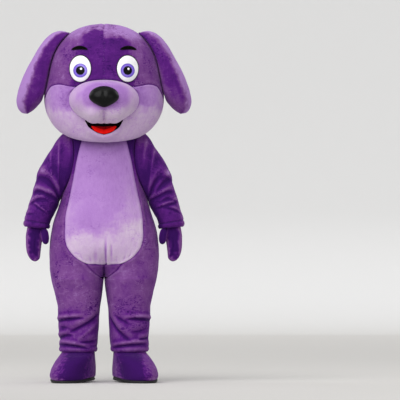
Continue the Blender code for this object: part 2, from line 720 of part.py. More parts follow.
def make_tail():
    """The stuffed tail, its root cut to the back panels."""
    rows = len(TAIL["z"])
    turns = 2 * np.pi * np.arange(10) / 10
    middle = np.stack([TAIL["x"], TAIL["y"], TAIL["z"]], -1)
    run = unit(np.gradient(middle, axis=0))
    across = np.array((1.0, 0.0, 0.0))
    up = np.cross(run, across)
    ring = np.cos(turns)[:, None] * across + np.sin(turns)[:, None] * up[:, None]
    rings = middle[:, None] + ring * TAIL["radius"][:, None, None]
    root = rings[0]
    root[:, 1] = back_y(root[:, 0], root[:, 2]) + 2 * SEAT_GAP
    inside = (root - middle[0]) * 0.5 + middle[0]
    inside[:, 1] = back_y(inside[:, 0], inside[:, 2]) + 2 * SEAT_GAP
    start = np.array((0.0, back_y(0.0, TAIL["z"][0]) + 2 * SEAT_GAP, TAIL["z"][0]))
    solid_of_rings("tail", np.concatenate([[inside], rings]), "plush_purple", start)


def back_y(x, z):
    """The y of the suit's back at a place seen from behind."""
    x, z = np.broadcast_arrays(np.abs(np.asarray(x, float)), np.asarray(z, float))
    return suit_points(1, 1, t_at_x(1, x, z), z)[0][..., 1]


# The mittens and boots


def make_mittens():
    rows = np.arange(len(MITTEN["z"]), dtype=float)
    columns = {name: along_rows(MITTEN, name, rows)[:, None] for name in MITTEN}
    middle = (columns["inner"] + columns["outer"]) / 2
    half = (columns["outer"] - columns["inner"]) / 2
    for stem, face, slot in (("mitten_back", -1, "plush_purple"), ("mitten_palm", 1, "plush_lilac")):
        turn = np.linspace(0, np.pi, 7)
        for side in (1, -1):
            layers = []
            for inset in (0.0, MITTEN_WALL):
                wide = np.maximum(half - inset, 1e-4)
                thick = np.maximum(columns["thick"] - inset, 1e-4)
                x = middle + wide * np.cos(turn)
                y = MITTEN_Y + face * thick * np.sin(turn) ** 0.9
                tip = columns["z"] + inset * (rows[:, None] < 1)
                layers.append(points(side * x, y, tip))
            seams = ("first_column", "last_column")
            wall(side_name(stem, side), *layers, slot, seams)


def clear_of_mitten(spots, row):
    """Points of the thumb pushed out to the mitten's surface, where its root rests, and clear of it beyond the root."""
    z = spots[..., 2]
    inner, outer, thick = (smooth(z, MITTEN["z"], MITTEN[c]) for c in ("inner", "outer", "thick"))
    middle, half = (inner + outer) / 2, (outer - inner) / 2
    x, y = spots[..., 0] - middle, spots[..., 1] - MITTEN_Y
    reach = np.hypot(x / half, y / thick)
    least = np.where(row == 0, 1.03, np.maximum(reach, 1.07))
    return points(middle + x * least / reach, MITTEN_Y + y * least / reach, z)


def make_thumbs():
    rows = len(THUMB["z"])
    turns = 2 * np.pi * np.arange(10) / 10
    middle = np.stack([THUMB["x"], THUMB["y"], THUMB["z"]], -1)
    run = unit(np.gradient(middle, axis=0))
    across = unit(np.cross(run, (0.0, 1.0, 0.0)))
    up = np.cross(run, across)
    ring = np.cos(turns)[:, None] * across[:, None] + np.sin(turns)[:, None] * up[:, None]
    for side in (1, -1):
        layers = []
        for inset in (0.0, MITTEN_WALL):
            radius = np.maximum(THUMB["radius"] - inset, 1e-4)[:, None, None]
            layer = middle[:, None] + ring * radius
            layer[rows - 1, :, 2] += inset
            layer = clear_of_mitten(layer, np.arange(rows)[:, None])
            layers.append(layer * (side, 1, 1))
        wall(side_name("thumb", side), *layers, "plush_purple", around=True)


def boot_ring(side, row, turn, grown=0.0):
    """The boot's outside: turn 0 is the outer side, and it goes round by the toe."""
    value = {name: along_rows(BOOT, name, row) for name in BOOT}
    lean = np.sin(turn)
    depth = np.where(lean > 0, value["front"], value["back"]) + grown
    y = -depth * signed_power(lean, LEG_ROUND)
    x = value["middle"] + (value["half_width"] + grown) * np.cos(turn)
    x = x - value["toe_out"] * TOE_OUT_SLOPE * np.minimum(y, 0.05)
    return points(side * x, y, value["z"])


def make_boots():
    rows = np.arange(len(BOOT["z"]), dtype=float)[:, None]
    turns = 2 * np.pi * np.arange(16) / 16
    sole_rows = np.array((0.0, SOLE_THICK))
    for side in (1, -1):

        def base(row, turn):
            return boot_ring(side, row, turn)

        row, turn = np.broadcast_arrays(rows, turns)
        outer = base(row, turn)
        outward = side * normals(base, np.clip(row, 0.05, rows.max() - 0.05), turn, 0.04, 0.02)
        outward[0] = unit(outward[0] * (1, 1, 0))
        outward[-1] = unit(outward[-1] * (1, 1, 0))
        wall(side_name("boot", side), outer, outer - outward * BOOT_WALL, "plush_purple", around=True)
        sole = np.stack([boot_ring(side, np.zeros(len(turns)), turns, SOLE_EDGE)] * len(sole_rows))
        sole[..., 2] = sole_rows[:, None]
        solid_of_rings(side_name("sole", side), sole, "sole_black")


# The pieces of the head


def on_plane_side(grid, side):
    """The wearer's left half as built, or mirrored, and clear of the middle seam."""
    grid = grid.copy()
    grid[..., 0] = np.maximum(grid[..., 0], SEAM_HALF)
    return grid * (side, 1, 1)


def make_skull():
    """The purple upper face, crown and back, in two halves with a seam over the middle."""
    angles = np.concatenate([MUZZLE_TOP_ANGLES, MASK_ANGLES[1:], BACK_ANGLES])
    low = skull_edge_ring(angles)
    share = np.linspace(0, 1, 9)[:, None]
    ring = low + (CROWN - low) * share
    outer, inner = head_points(angles, ring)
    for side in (1, -1):
        layers = [on_plane_side(trimmed(grid, ("first_row",)), side) for grid in (outer, inner)]
        wall(side_name("skull", side), *layers, "plush_purple")


def skull_edge_ring(angles):
    """The ring number of the purple panels' lower edge at each angle."""
    over_muzzle = np.sqrt(np.clip(1 - (angles / MUZZLE_ANGLE) ** 2, 0, 1))
    arc = MUZZLE_Z + MUZZLE_HALF_Z * over_muzzle
    mask = smooth(np.degrees(angles), MASK["angle"], MASK["z"])
    return ring_at_z(np.where(angles < MASK_JOIN - 1e-6, arc, mask))


CHEEK = {
    "turn": np.linspace(math.acos(MASK_JOIN / MUZZLE_ANGLE) - 0.03, -np.pi / 2, 17),
    "angle": np.append(MASK_ANGLES + np.eye(1, 9)[0] * 0.02, CHIN_ANGLES),
    "lip": np.array([0.10] * 9 + [0.09, 0.08, 0.08, 0.12, 0.30, 0.45, 0.53, 0.55]),
}
CHEEK["ring"] = np.append(skull_edge_ring(CHEEK["angle"][:9]), 0 * CHIN_ANGLES)
MOUTH_FIRST = 12  # the cheek's column at the mouth's corner
LIP_ROWS = 3  # the cheek's rows from the muzzle down to the lower lip
MOUTH_DENT, LIP_ROLL = 0.020, 0.024


def cheek_base(column, share):
    """The lilac lower face's outside on the wearer's left: columns go round the muzzle from the mask down to the chin, and share goes from the muzzle's seam to the outer edge."""
    turn, angle_out, ring_out, lip = (along_rows(CHEEK, c, column) for c in ("turn", "angle", "ring", "lip"))
    angle_in = MUZZLE_ANGLE * np.cos(turn)
    ring_in = ring_at_z(MUZZLE_Z + MUZZLE_HALF_Z * np.sin(turn))
    base = head_base(angle_in + (angle_out - angle_in) * share, ring_in + (ring_out - ring_in) * share)
    deep = np.clip((lip - 0.12) / 0.36, 0, 1)
    dent = MOUTH_DENT * np.sin(np.pi * np.clip(share / lip, 0, 1)) ** 1.5
    roll = LIP_ROLL * np.exp(-(((share - lip - 0.10) / 0.16) ** 2))
    return base + points(0.0, deep * (dent - roll * (share > 0)), 0.0)


def cheek_rows(column):
    """The cheek's rows at each column: the mouth's, then the rest."""
    lip = along_rows(CHEEK, "lip", column)
    mouth = np.linspace(0, 1, LIP_ROWS + 1)[:, None] * lip
    rest = np.array((0.24, 0.5, 0.75, 1.0))[:, None] * (1 - lip) + lip
    return np.concatenate([mouth, rest])


def cheek_grids():
    """Outer points of the cheek's panel, and its outward normals."""
    column = np.arange(len(CHEEK["turn"]), dtype=float)
    share = cheek_rows(column)
    column = column + 0 * share

    def base(column, share):
        return cheek_base(column, share)

    inside = np.clip(column, 0.05, len(CHEEK["turn"]) - 1.0)
    outward = normals(base, inside, np.clip(share, 0.015, 0.985), 0.04, 0.012)
    outward[:, -1] = unit(outward[:, -1] * (1e-9, 1, 1))
    return cheek_base(column, share), outward


def make_cheeks():
    """The lilac lower face in two halves."""
    outer, outward = cheek_grids()
    seams = ("first_row", "last_row")
    for side in (1, -1):
        grids = outer, outer - outward * HEAD_WALL
        layers = [on_plane_side(trimmed(grid, seams), side) for grid in grids]
        wall(side_name("cheek", side), *layers, "plush_lilac")


def both_sides(grid):
    """The wearer's left half and its mirror image, joined on the middle plane, where the last column is."""
    return np.concatenate([grid * (-1, 1, 1), grid[:, -2::-1]], 1)


def make_mouth():
    """The mouth's black lining and the tongue, from the cheeks' points moved out."""
    outer, outward = cheek_grids()
    area = np.s_[: LIP_ROWS + 1, MOUTH_FIRST:]
    outer, outward = both_sides(outer[area]), both_sides(outward[area])
    back = outer + outward * 2 * SEAT_GAP
    back[0] += (back[1] - back[0]) * 0.1
    front = back + outward * LINING_THICK
    wall("mouth_lining", front, back, "felt_black")
    middle = back.shape[1] // 2
    area = np.s_[:, middle - TONGUE_COLUMNS : middle + TONGUE_COLUMNS + 1]
    back = (front + outward * 2 * SEAT_GAP)[area]
    thick = np.sin(np.linspace(0.06, 0.94, LIP_ROWS + 1) * np.pi)[:, None, None]
    thick = thick * np.sin(np.linspace(0.1, 0.9, back.shape[1]) * np.pi)[:, None]
    front = back + outward[area] * (0.001 + TONGUE_THICK * thick)
    wall("tongue", front, back, "felt_red", form=back)


def make_muzzle():
    """The muzzle in two halves, with a seam down its middle."""
    top = np.arccos(MUZZLE_TOP_ANGLES[:-1] / MUZZLE_ANGLE)
    turn = np.concatenate([top, CHEEK["turn"]])
    share = np.array((1.0, 0.975, 0.90, 0.78, 0.60, 0.40, 0.20, 0.0))[:, None]
    outer = muzzle_base(turn, share)

    def base(turn, share):
        return muzzle_base(turn, np.clip(share, 0, 1))

    inside = np.clip(share, 0.05, 0.985)
    outward = -normals(base, turn, inside, 0.02, 0.012)
    outward[-1] = (0.0, -1.0, 0.0)
    inner = outer - outward * HEAD_WALL
    for side in (1, -1):
        layers = [on_plane_side(trimmed(grid, ("first_row",)), side) for grid in (outer, inner)]
        wall(side_name("muzzle", side), *layers, "plush_lilac")


def side_x(y, z):
    """The x of the head's side at a place seen from the side."""
    ring, angle = ring_at_z(z), np.pi / 2
    for _ in range(12):
        depth = np.where(y < 0, head_column("front", ring), head_column("back", ring))
        angle = np.arccos(np.clip(-y / np.maximum(depth, 1e-6), -1, 1))
        ring = ring_at_z(head_column("z", ring) + z - head_base(angle, ring)[..., 2])
    return head_base(angle, ring)[..., 0]


def ear_ring(side, ring, turn):
    """The ear's outside, a padded flap whose inner face lies on the head."""
    value = {name: along_rows(EAR, name, ring) for name in EAR}
    swing, lean = np.cos(turn), np.sin(turn)
    across = 0.5 + 0.5 * swing
    x = value["inner_x"] + (value["outer_x"] - value["inner_x"]) * across
    z = value["inner_z"] + (value["outer_z"] - value["inner_z"]) * across
    y = -value["depth"] * signed_power(lean, 0.9)
    on_head = side_x(y, z) + EAR_CLEAR
    inner_half = np.clip(-swing, 0, 1) ** 0.35 * value["lies"]
    x = np.maximum(x + (on_head - x) * inner_half, np.where(z > 1.5, on_head, 0.0))
    return points(side * x, y, z)


def make_ears():
    rings = np.arange(len(EAR["depth"]), dtype=float)[:, None]
    turns = 2 * np.pi * np.arange(16) / 16
    for side in (1, -1):
        solid_of_rings(side_name("ear", side), ear_ring(side, rings, turns), "plush_purple")


def boss(name, slot, middle, half, seat, height, edge, dome=0.5, point=0.0, rings=3, steps=14):
    """A piece that lies on the face: its back follows seat(x, z), and its front domes out from a thin edge. point narrows it downwards."""
    share = np.linspace(1, 0, rings)[:, None]
    turn = 2 * np.pi * np.arange(steps) / steps
    narrow = 1 - point * np.clip(-np.sin(turn), 0, 1) ** 2
    x = middle[0] + half[0] * share * np.cos(turn) * narrow
    z = middle[1] + half[1] * share * np.sin(turn)
    back = seat(x, z) - SEAT_GAP
    front = back - edge - height * (1 - share**2) ** dome
    return wall(name, points(x, front, z), points(x, back, z), slot, around=True)


# The face: plain round eyes, short brows and a simple open mouth
EYE_X, EYE_Z, EYE_HALF_WIDTH, EYE_HALF_HEIGHT = 0.128, 1.700, 0.058, 0.072
EYE_EDGE, EYE_DOME = 0.003, 0.012
IRIS_RADIUS, PUPIL_RADIUS, INSERT_THICK = 0.034, 0.019, 0.0016
IRIS_DROP = 0.010
BROW_X, BROW_Z, BROW_HALF_WIDTH, BROW_HALF_HEIGHT, BROW_SINK = 0.132, 1.812, 0.040, 0.009, 0.0012
NOSE_Z, NOSE_HALF_WIDTH, NOSE_HALF_HEIGHT, NOSE_DOME = 1.546, 0.081, 0.058, 0.038
LINING_THICK = 0.002
TONGUE_COLUMNS, TONGUE_THICK = 2, 0.012


def white_y(side):
    """The front of the domed eye white."""

    def seat(x, z):
        share = np.hypot((x - side * EYE_X) / EYE_HALF_WIDTH, (z - EYE_Z) / EYE_HALF_HEIGHT)
        dome = EYE_DOME * np.clip(1 - share**2, 0, 1) ** 0.5
        return face_y(x, z) - SEAT_GAP - EYE_EDGE - dome

    return seat


def make_eyes():
    for side in (1, -1):
        seat = white_y(side)
        middle, half = (side * EYE_X, EYE_Z), (EYE_HALF_WIDTH, EYE_HALF_HEIGHT)
        name = side_name("eye_white", side)
        boss(name, "eye_white", middle, half, face_y, EYE_DOME, EYE_EDGE, rings=5, steps=18)
        middle = (side * EYE_X, EYE_Z - IRIS_DROP)
        iris, pupil = (IRIS_RADIUS,) * 2, (PUPIL_RADIUS,) * 2

        def iris_seat(x, z):
            return seat(x, z) - 2 * SEAT_GAP

        def pupil_seat(x, z):
            return seat(x, z) - INSERT_THICK - 3 * SEAT_GAP

        boss(side_name("iris", side), "iris_violet", middle, iris, iris_seat, 0.0, INSERT_THICK)
        boss(side_name("pupil", side), "felt_black", middle, pupil, pupil_seat, 0.0, INSERT_THICK, rings=3)


def make_brows():
    for side in (1, -1):
        middle, half = (side * BROW_X, BROW_Z), (BROW_HALF_WIDTH, BROW_HALF_HEIGHT)

        def seat(x, z):
            return face_y(x, z) + BROW_SINK

        boss(side_name("brow", side), "felt_black", middle, half, seat, 0.003, 0.003, rings=3)


def make_nose():
    middle, half = (0.0, NOSE_Z), (NOSE_HALF_WIDTH, NOSE_HALF_HEIGHT)

    def seat(x, z):
        return face_y(x, z) - 3 * SEAT_GAP

    boss("nose", "nose_black", middle, half, seat, NOSE_DOME, 0.006, dome=0.4, point=0.45, rings=5, steps=16)


def main():
    for thing in list(bpy.data.objects):
        bpy.data.objects.remove(thing)
    costume = bpy.data.collections.new("dog_costume")
    bpy.context.scene.collection.children.link(costume)
    make_suit_fronts()
    make_suit_backs()
    make_belly()
    make_gusset()
    make_sleeves()
    make_tail()
    make_mittens()
    make_thumbs()
    make_boots()
    make_skull()
    make_cheeks()
    make_muzzle()
    make_ears()
    make_eyes()
    make_brows()
    make_nose()
    make_mouth()


main()
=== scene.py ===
"""Dog costume: the looks of its plush suit, foam-backed head, mittens and boots, as a Blender add-on.

Sizes are in metres. Heights in the tables are above the floor, and the model's origin is the point
between the wearer's shoulders. +Z is up, the front faces -Y and the wearer's left is +X.
"""

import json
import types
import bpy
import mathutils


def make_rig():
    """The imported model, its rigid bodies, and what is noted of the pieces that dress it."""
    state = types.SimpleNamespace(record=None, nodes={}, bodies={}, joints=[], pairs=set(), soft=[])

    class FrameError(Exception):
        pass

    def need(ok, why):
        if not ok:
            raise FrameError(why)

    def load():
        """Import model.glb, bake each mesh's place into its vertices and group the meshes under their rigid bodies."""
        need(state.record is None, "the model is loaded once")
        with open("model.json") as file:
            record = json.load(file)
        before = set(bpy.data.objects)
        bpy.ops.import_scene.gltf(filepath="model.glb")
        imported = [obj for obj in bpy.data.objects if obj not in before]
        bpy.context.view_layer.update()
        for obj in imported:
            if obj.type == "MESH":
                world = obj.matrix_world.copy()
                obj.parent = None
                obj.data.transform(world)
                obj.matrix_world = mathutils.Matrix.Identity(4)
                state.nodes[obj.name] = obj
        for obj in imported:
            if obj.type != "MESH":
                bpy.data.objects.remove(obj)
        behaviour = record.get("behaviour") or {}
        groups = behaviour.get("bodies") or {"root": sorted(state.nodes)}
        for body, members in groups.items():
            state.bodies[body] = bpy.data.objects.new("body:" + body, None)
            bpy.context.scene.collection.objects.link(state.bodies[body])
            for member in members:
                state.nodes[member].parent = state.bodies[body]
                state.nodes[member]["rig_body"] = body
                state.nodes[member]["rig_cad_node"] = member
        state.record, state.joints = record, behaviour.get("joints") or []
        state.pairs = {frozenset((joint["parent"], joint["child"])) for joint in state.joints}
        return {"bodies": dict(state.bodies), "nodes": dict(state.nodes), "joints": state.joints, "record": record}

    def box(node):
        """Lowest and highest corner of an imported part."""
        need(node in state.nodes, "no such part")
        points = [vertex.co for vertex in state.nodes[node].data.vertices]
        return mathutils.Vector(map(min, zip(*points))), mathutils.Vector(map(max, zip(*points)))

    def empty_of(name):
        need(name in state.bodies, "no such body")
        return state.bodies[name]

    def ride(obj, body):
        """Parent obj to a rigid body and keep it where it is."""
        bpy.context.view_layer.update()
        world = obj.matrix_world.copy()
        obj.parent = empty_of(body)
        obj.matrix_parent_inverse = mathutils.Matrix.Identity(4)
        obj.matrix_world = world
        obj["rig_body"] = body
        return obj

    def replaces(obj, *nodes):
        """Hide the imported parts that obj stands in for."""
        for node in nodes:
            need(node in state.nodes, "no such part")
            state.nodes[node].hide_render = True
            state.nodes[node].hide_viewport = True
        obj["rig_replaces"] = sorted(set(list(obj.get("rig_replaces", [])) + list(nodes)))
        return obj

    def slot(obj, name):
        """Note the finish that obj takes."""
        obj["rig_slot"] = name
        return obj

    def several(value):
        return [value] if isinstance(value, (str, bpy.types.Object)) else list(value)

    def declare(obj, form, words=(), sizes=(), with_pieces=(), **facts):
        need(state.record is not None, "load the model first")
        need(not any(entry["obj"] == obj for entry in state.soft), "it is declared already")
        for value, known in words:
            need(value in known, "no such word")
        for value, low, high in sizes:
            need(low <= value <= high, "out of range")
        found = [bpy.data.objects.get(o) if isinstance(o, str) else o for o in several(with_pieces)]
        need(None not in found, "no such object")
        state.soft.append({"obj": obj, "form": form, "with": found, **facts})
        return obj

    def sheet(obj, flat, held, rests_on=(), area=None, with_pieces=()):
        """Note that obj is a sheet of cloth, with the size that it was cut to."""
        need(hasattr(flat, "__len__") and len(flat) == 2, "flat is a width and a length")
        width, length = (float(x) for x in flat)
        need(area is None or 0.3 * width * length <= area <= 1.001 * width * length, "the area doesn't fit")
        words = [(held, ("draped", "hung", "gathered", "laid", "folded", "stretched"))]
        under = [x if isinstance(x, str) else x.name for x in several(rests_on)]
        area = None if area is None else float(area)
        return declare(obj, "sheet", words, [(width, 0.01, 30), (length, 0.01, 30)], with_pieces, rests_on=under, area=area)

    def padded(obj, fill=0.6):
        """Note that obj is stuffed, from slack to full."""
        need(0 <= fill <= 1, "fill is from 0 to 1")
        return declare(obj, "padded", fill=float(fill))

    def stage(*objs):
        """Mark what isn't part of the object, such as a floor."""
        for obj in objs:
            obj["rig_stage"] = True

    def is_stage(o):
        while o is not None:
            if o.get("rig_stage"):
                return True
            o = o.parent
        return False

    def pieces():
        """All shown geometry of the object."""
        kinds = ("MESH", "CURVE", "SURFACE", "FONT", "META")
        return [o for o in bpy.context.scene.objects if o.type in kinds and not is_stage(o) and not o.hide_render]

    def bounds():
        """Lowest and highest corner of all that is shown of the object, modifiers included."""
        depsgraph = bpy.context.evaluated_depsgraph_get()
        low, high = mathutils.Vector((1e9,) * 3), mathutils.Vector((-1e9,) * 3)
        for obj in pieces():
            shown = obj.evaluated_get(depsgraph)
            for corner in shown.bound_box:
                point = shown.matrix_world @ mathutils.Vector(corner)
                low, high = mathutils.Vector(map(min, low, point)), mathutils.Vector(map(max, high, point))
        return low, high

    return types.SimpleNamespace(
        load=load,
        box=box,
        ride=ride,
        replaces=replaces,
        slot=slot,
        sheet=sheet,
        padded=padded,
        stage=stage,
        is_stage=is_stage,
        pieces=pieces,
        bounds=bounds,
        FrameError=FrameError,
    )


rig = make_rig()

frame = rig.load()

import itertools
import json
import math
from functools import partial

import bmesh
import bpy
import numpy as np
from bpy.props import FloatProperty, FloatVectorProperty, IntProperty, PointerProperty
from mathutils import Vector

bl_info = {
    "name": "Dog Costume",
    "version": (1, 0, 0),
    "blender": (4, 5, 0),
    "location": "View3D > Sidebar > Costume",
    "description": "Dresses the dog costume's frame in plush, felt and moulded parts",
    "category": "Object",
}

CAD_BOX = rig.bounds()
HOLD_HEIGHT = -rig.box("sole_left")[0][2]  # the wearer's shoulders above the floor
SIDES = (1, -1)  # the wearer's left and right


def linear(colour):
    """An sRGB hex colour as linear red, green and blue."""
    parts = [int(colour[i : i + 2], 16) / 255 for i in (1, 3, 5)]
    return tuple(p / 12.92 if p <= 0.04045 else ((p + 0.055) / 1.055) ** 2.4 for p in parts)


def table(columns, *rows):
    """A table as a dictionary of column name to its values."""
    return {name: np.array(values, float) for name, values in zip(columns, zip(*rows))}


# One half of the suit, from the leg's hem to the neck
SUIT = table(
    ("z", "side", "inseam", "front", "back"),
    (0.166, 0.235, 0.045, 0.115, 0.115),
    (0.176, 0.242, 0.039, 0.121, 0.12),
    (0.205, 0.244, 0.036, 0.124, 0.121),
    (0.24, 0.241, 0.033, 0.122, 0.121),
    (0.29, 0.246, 0.03, 0.126, 0.125),
    (0.345, 0.25, 0.027, 0.13, 0.13),
    (0.4, 0.25, 0.023, 0.134, 0.138),
    (0.45, 0.259, 0.016, 0.142, 0.15),
    (0.5, 0.27, 0.009, 0.152, 0.164),
    (0.561, 0.285, 0.003, 0.169, 0.18),
    (0.62, 0.295, 0.001, 0.188, 0.192),
    (0.7, 0.2985, 0.001, 0.209, 0.199),
    (0.78, 0.293, 0.001, 0.219, 0.196),
    (0.865, 0.275, 0.001, 0.216, 0.182),
    (0.945, 0.25, 0.001, 0.203, 0.165),
    (1.015, 0.229, 0.001, 0.188, 0.154),
    (1.11, 0.214, 0.001, 0.172, 0.148),
    (1.21, 0.21, 0.001, 0.16, 0.146),
    (1.3, 0.203, 0.001, 0.147, 0.139),
    (1.35, 0.19, 0.001, 0.136, 0.13),
    (1.385, 0.168, 0.001, 0.124, 0.12),
    (1.405, 0.145, 0.001, 0.114, 0.111),
    (1.425, 0.115, 0.001, 0.104, 0.103),
)
CROTCH_Z, BLEND_HEIGHT = 0.561, 0.19  # the legs blend into the body over that height
LEG_ROUND, TORSO_ROUND = 0.8, 0.86  # 1 is an ellipse, and less is squarer

# Half the belly panel's width at each height
BELLY_SEAM = table(
    ("z", "x"),
    (0.561, 0.001),
    (0.572, 0.02),
    (0.59, 0.045),
    (0.615, 0.074),
    (0.645, 0.098),
    (0.662, 0.13),
    (0.68, 0.156),
    (0.705, 0.18),
    (0.745, 0.204),
    (0.8, 0.214),
    (0.88, 0.211),
    (0.99, 0.193),
    (1.1, 0.17),
    (1.21, 0.149),
    (1.32, 0.12),
    (1.425, 0.085),
)
BELLY_BOTTOM_Z, BELLY_SAG = 0.645, 0.007
ARMHOLE_Z, ARMHOLE_HALF_HEIGHT, ARMHOLE_HALF_DEPTH = 1.2, 0.185, 0.105
ARMHOLE_STEPS = 128
HEM_Z, NECK_Z = SUIT["z"][0], SUIT["z"][-1]
HEM_STITCHES = 0.03  # above the hem

# The sleeve: the ends of each ring in the front view, its half depth and its middle's y
SLEEVE = table(
    ("outer_x", "outer_z", "inner_x", "inner_z", "depth", "y"),
    (0.168, 1.385, 0.229, 1.015, 0.105, 0.0),
    (0.236, 1.34, 0.241, 0.985, 0.106, 0.0),
    (0.285, 1.27, 0.246, 0.966, 0.102, -0.002),
    (0.329, 1.203, 0.251, 0.952, 0.097, -0.005),
    (0.364, 1.126, 0.259, 0.937, 0.092, -0.008),
    (0.38, 1.062, 0.267, 0.922, 0.088, -0.012),
    (0.401, 0.994, 0.276, 0.906, 0.084, -0.014),
    (0.417, 0.938, 0.286, 0.889, 0.08, -0.016),
    (0.433, 0.893, 0.294, 0.867, 0.076, -0.018),
    (0.437, 0.864, 0.296, 0.846, 0.07, -0.018),
    (0.43, 0.846, 0.302, 0.834, 0.056, -0.018),
    (0.4193, 0.85, 0.3217, 0.848, 0.0393, -0.018),
)
CUFF_RING, CUFF_GROOVE = 8.35, 0.003  # where the cuff is stitched down, and how deep

# The mitten from its tip to its cuff, seen from the front, and half its thickness
MITTEN = table(
    ("z", "inner", "outer", "thick"),
    (0.655, 0.374, 0.376, 0.001),
    (0.66, 0.361, 0.3905, 0.012),
    (0.678, 0.3465, 0.409, 0.0225),
    (0.715, 0.343, 0.4225, 0.032),
    (0.755, 0.338, 0.4265, 0.037),
    (0.79, 0.327, 0.4265, 0.039),
    (0.83, 0.3232, 0.421, 0.0385),
    (0.85, 0.3241, 0.4169, 0.037),
    (0.89, 0.333, 0.408, 0.033),
)
MITTEN_Y = -0.018

# The thumb's middle line from its root to its tip
THUMB = table(
    ("x", "y", "z", "radius"),
    (0.33, -0.042, 0.829, 0.019),
    (0.323, -0.056, 0.808, 0.0215),
    (0.319, -0.061, 0.785, 0.021),
    (0.318, -0.061, 0.766, 0.018),
    (0.319, -0.06, 0.754, 0.0105),
    (0.3195, -0.0595, 0.75, 0.001),
)

# The boot from its sole to the top of its shaft
BOOT = table(
    ("z", "middle", "half_width", "front", "back", "toe_out"),
    (0.0143, 0.164, 0.108, 0.255, 0.113, 1.0),
    (0.038, 0.164, 0.1145, 0.267, 0.122, 1.0),
    (0.07, 0.1615, 0.113, 0.259, 0.125, 0.95),
    (0.103, 0.1565, 0.108, 0.236, 0.124, 0.75),
    (0.133, 0.1495, 0.1, 0.19, 0.119, 0.45),
    (0.157, 0.142, 0.0915, 0.122, 0.11, 0.12),
    (0.168, 0.14, 0.0885, 0.107, 0.107, 0.0),
    (0.235, 0.14, 0.083, 0.096, 0.096, 0.0),
)
TOE_OUT_SLOPE = 0.2
SOLE_EDGE, SIDE_LIFT = 0.003, 0.013

# The head: rings from the rim to the crown
HEAD = table(
    ("z", "side", "front", "back"),
    (1.3614, 0.213, 0.203, 0.188),
    (1.377, 0.245, 0.236, 0.212),
    (1.412, 0.283, 0.264, 0.235),
    (1.455, 0.308, 0.283, 0.252),
    (1.5, 0.321, 0.294, 0.263),
    (1.552, 0.3265, 0.3, 0.272),
    (1.61, 0.3215, 0.301, 0.278),
    (1.664, 0.312, 0.298, 0.28),
    (1.72, 0.301, 0.29, 0.279),
    (1.77, 0.286, 0.277, 0.271),
    (1.824, 0.259, 0.252, 0.249),
    (1.872, 0.219, 0.214, 0.213),
    (1.907, 0.174, 0.17, 0.17),
    (1.932, 0.121, 0.119, 0.119),
    (1.9455, 0.064, 0.063, 0.063),
    (1.95, 0.0, 0.0, 0.0),
)
RIM_TILT = 0.3  # the slope that takes the rim lower in front
TILT_TOP_Z, TILT_SPAN = 1.62, 0.261
MUZZLE_ANGLE, MUZZLE_Z, MUZZLE_HALF_Z = math.radians(35.3), 1.545, 0.093
MUZZLE_REACH = 0.135
MASK_JOIN = math.radians(28.0)

# The edge between the purple head and the lilac cheeks, from the muzzle round to the rim
MASK = table(
    ("angle", "z"),
    (28.0, 1.6018),
    (38.0, 1.608),
    (50.0, 1.616),
    (62.0, 1.609),
    (73.0, 1.575),
    (83.0, 1.525),
    (92.0, 1.468),
    (99.0, 1.412),
    (104.0, 1.3614),
)
MASK_ANGLES = np.radians(MASK["angle"])
CHIN_ANGLES = np.radians((86, 68, 51, 37, 26, 17, 8, 0))

# The ear: the ends of each ring in the front view, its half depth and how far it lies on the head
EAR = table(
    ("outer_x", "outer_z", "inner_x", "inner_z", "depth", "lies"),
    (0.208, 1.908, 0.196, 1.898, 0.034, 1.0),
    (0.238, 1.912, 0.208, 1.886, 0.058, 1.0),
    (0.272, 1.903, 0.236, 1.856, 0.08, 1.0),
    (0.308, 1.878, 0.259, 1.827, 0.094, 1.0),
    (0.353, 1.824, 0.28, 1.785, 0.103, 1.0),
    (0.386, 1.766, 0.296, 1.74, 0.108, 1.0),
    (0.418, 1.708, 0.308, 1.69, 0.111, 1.0),
    (0.446, 1.647, 0.318, 1.636, 0.111, 1.0),
    (0.467, 1.585, 0.326, 1.584, 0.106, 0.9),
    (0.477, 1.531, 0.338, 1.542, 0.094, 0.4),
    (0.467, 1.487, 0.362, 1.502, 0.072, 0.0),
    (0.442, 1.464, 0.393, 1.474, 0.04, 0.0),
    (0.418, 1.46, 0.416, 1.4604, 0.002, 0.0),
)
EAR_CLEAR = 0.0024  # from the ear's inner side to the head

# The tail's middle line from its root to its tip
TAIL = table(
    ("x", "y", "z", "radius"),
    (0.0, 0.206, 0.74, 0.036),
    (-0.001, 0.233, 0.733, 0.045),
    (-0.007, 0.256, 0.708, 0.049),
    (-0.022, 0.268, 0.66, 0.0505),
    (-0.04, 0.27, 0.6, 0.0515),
    (-0.0545, 0.268, 0.535, 0.05),
    (-0.0625, 0.265, 0.47, 0.045),
    (-0.0645, 0.262, 0.415, 0.037),
    (-0.064, 0.26, 0.382, 0.024),
    (-0.0635, 0.259, 0.368, 0.01),
    (-0.0635, 0.2588, 0.365, 0.001),
)

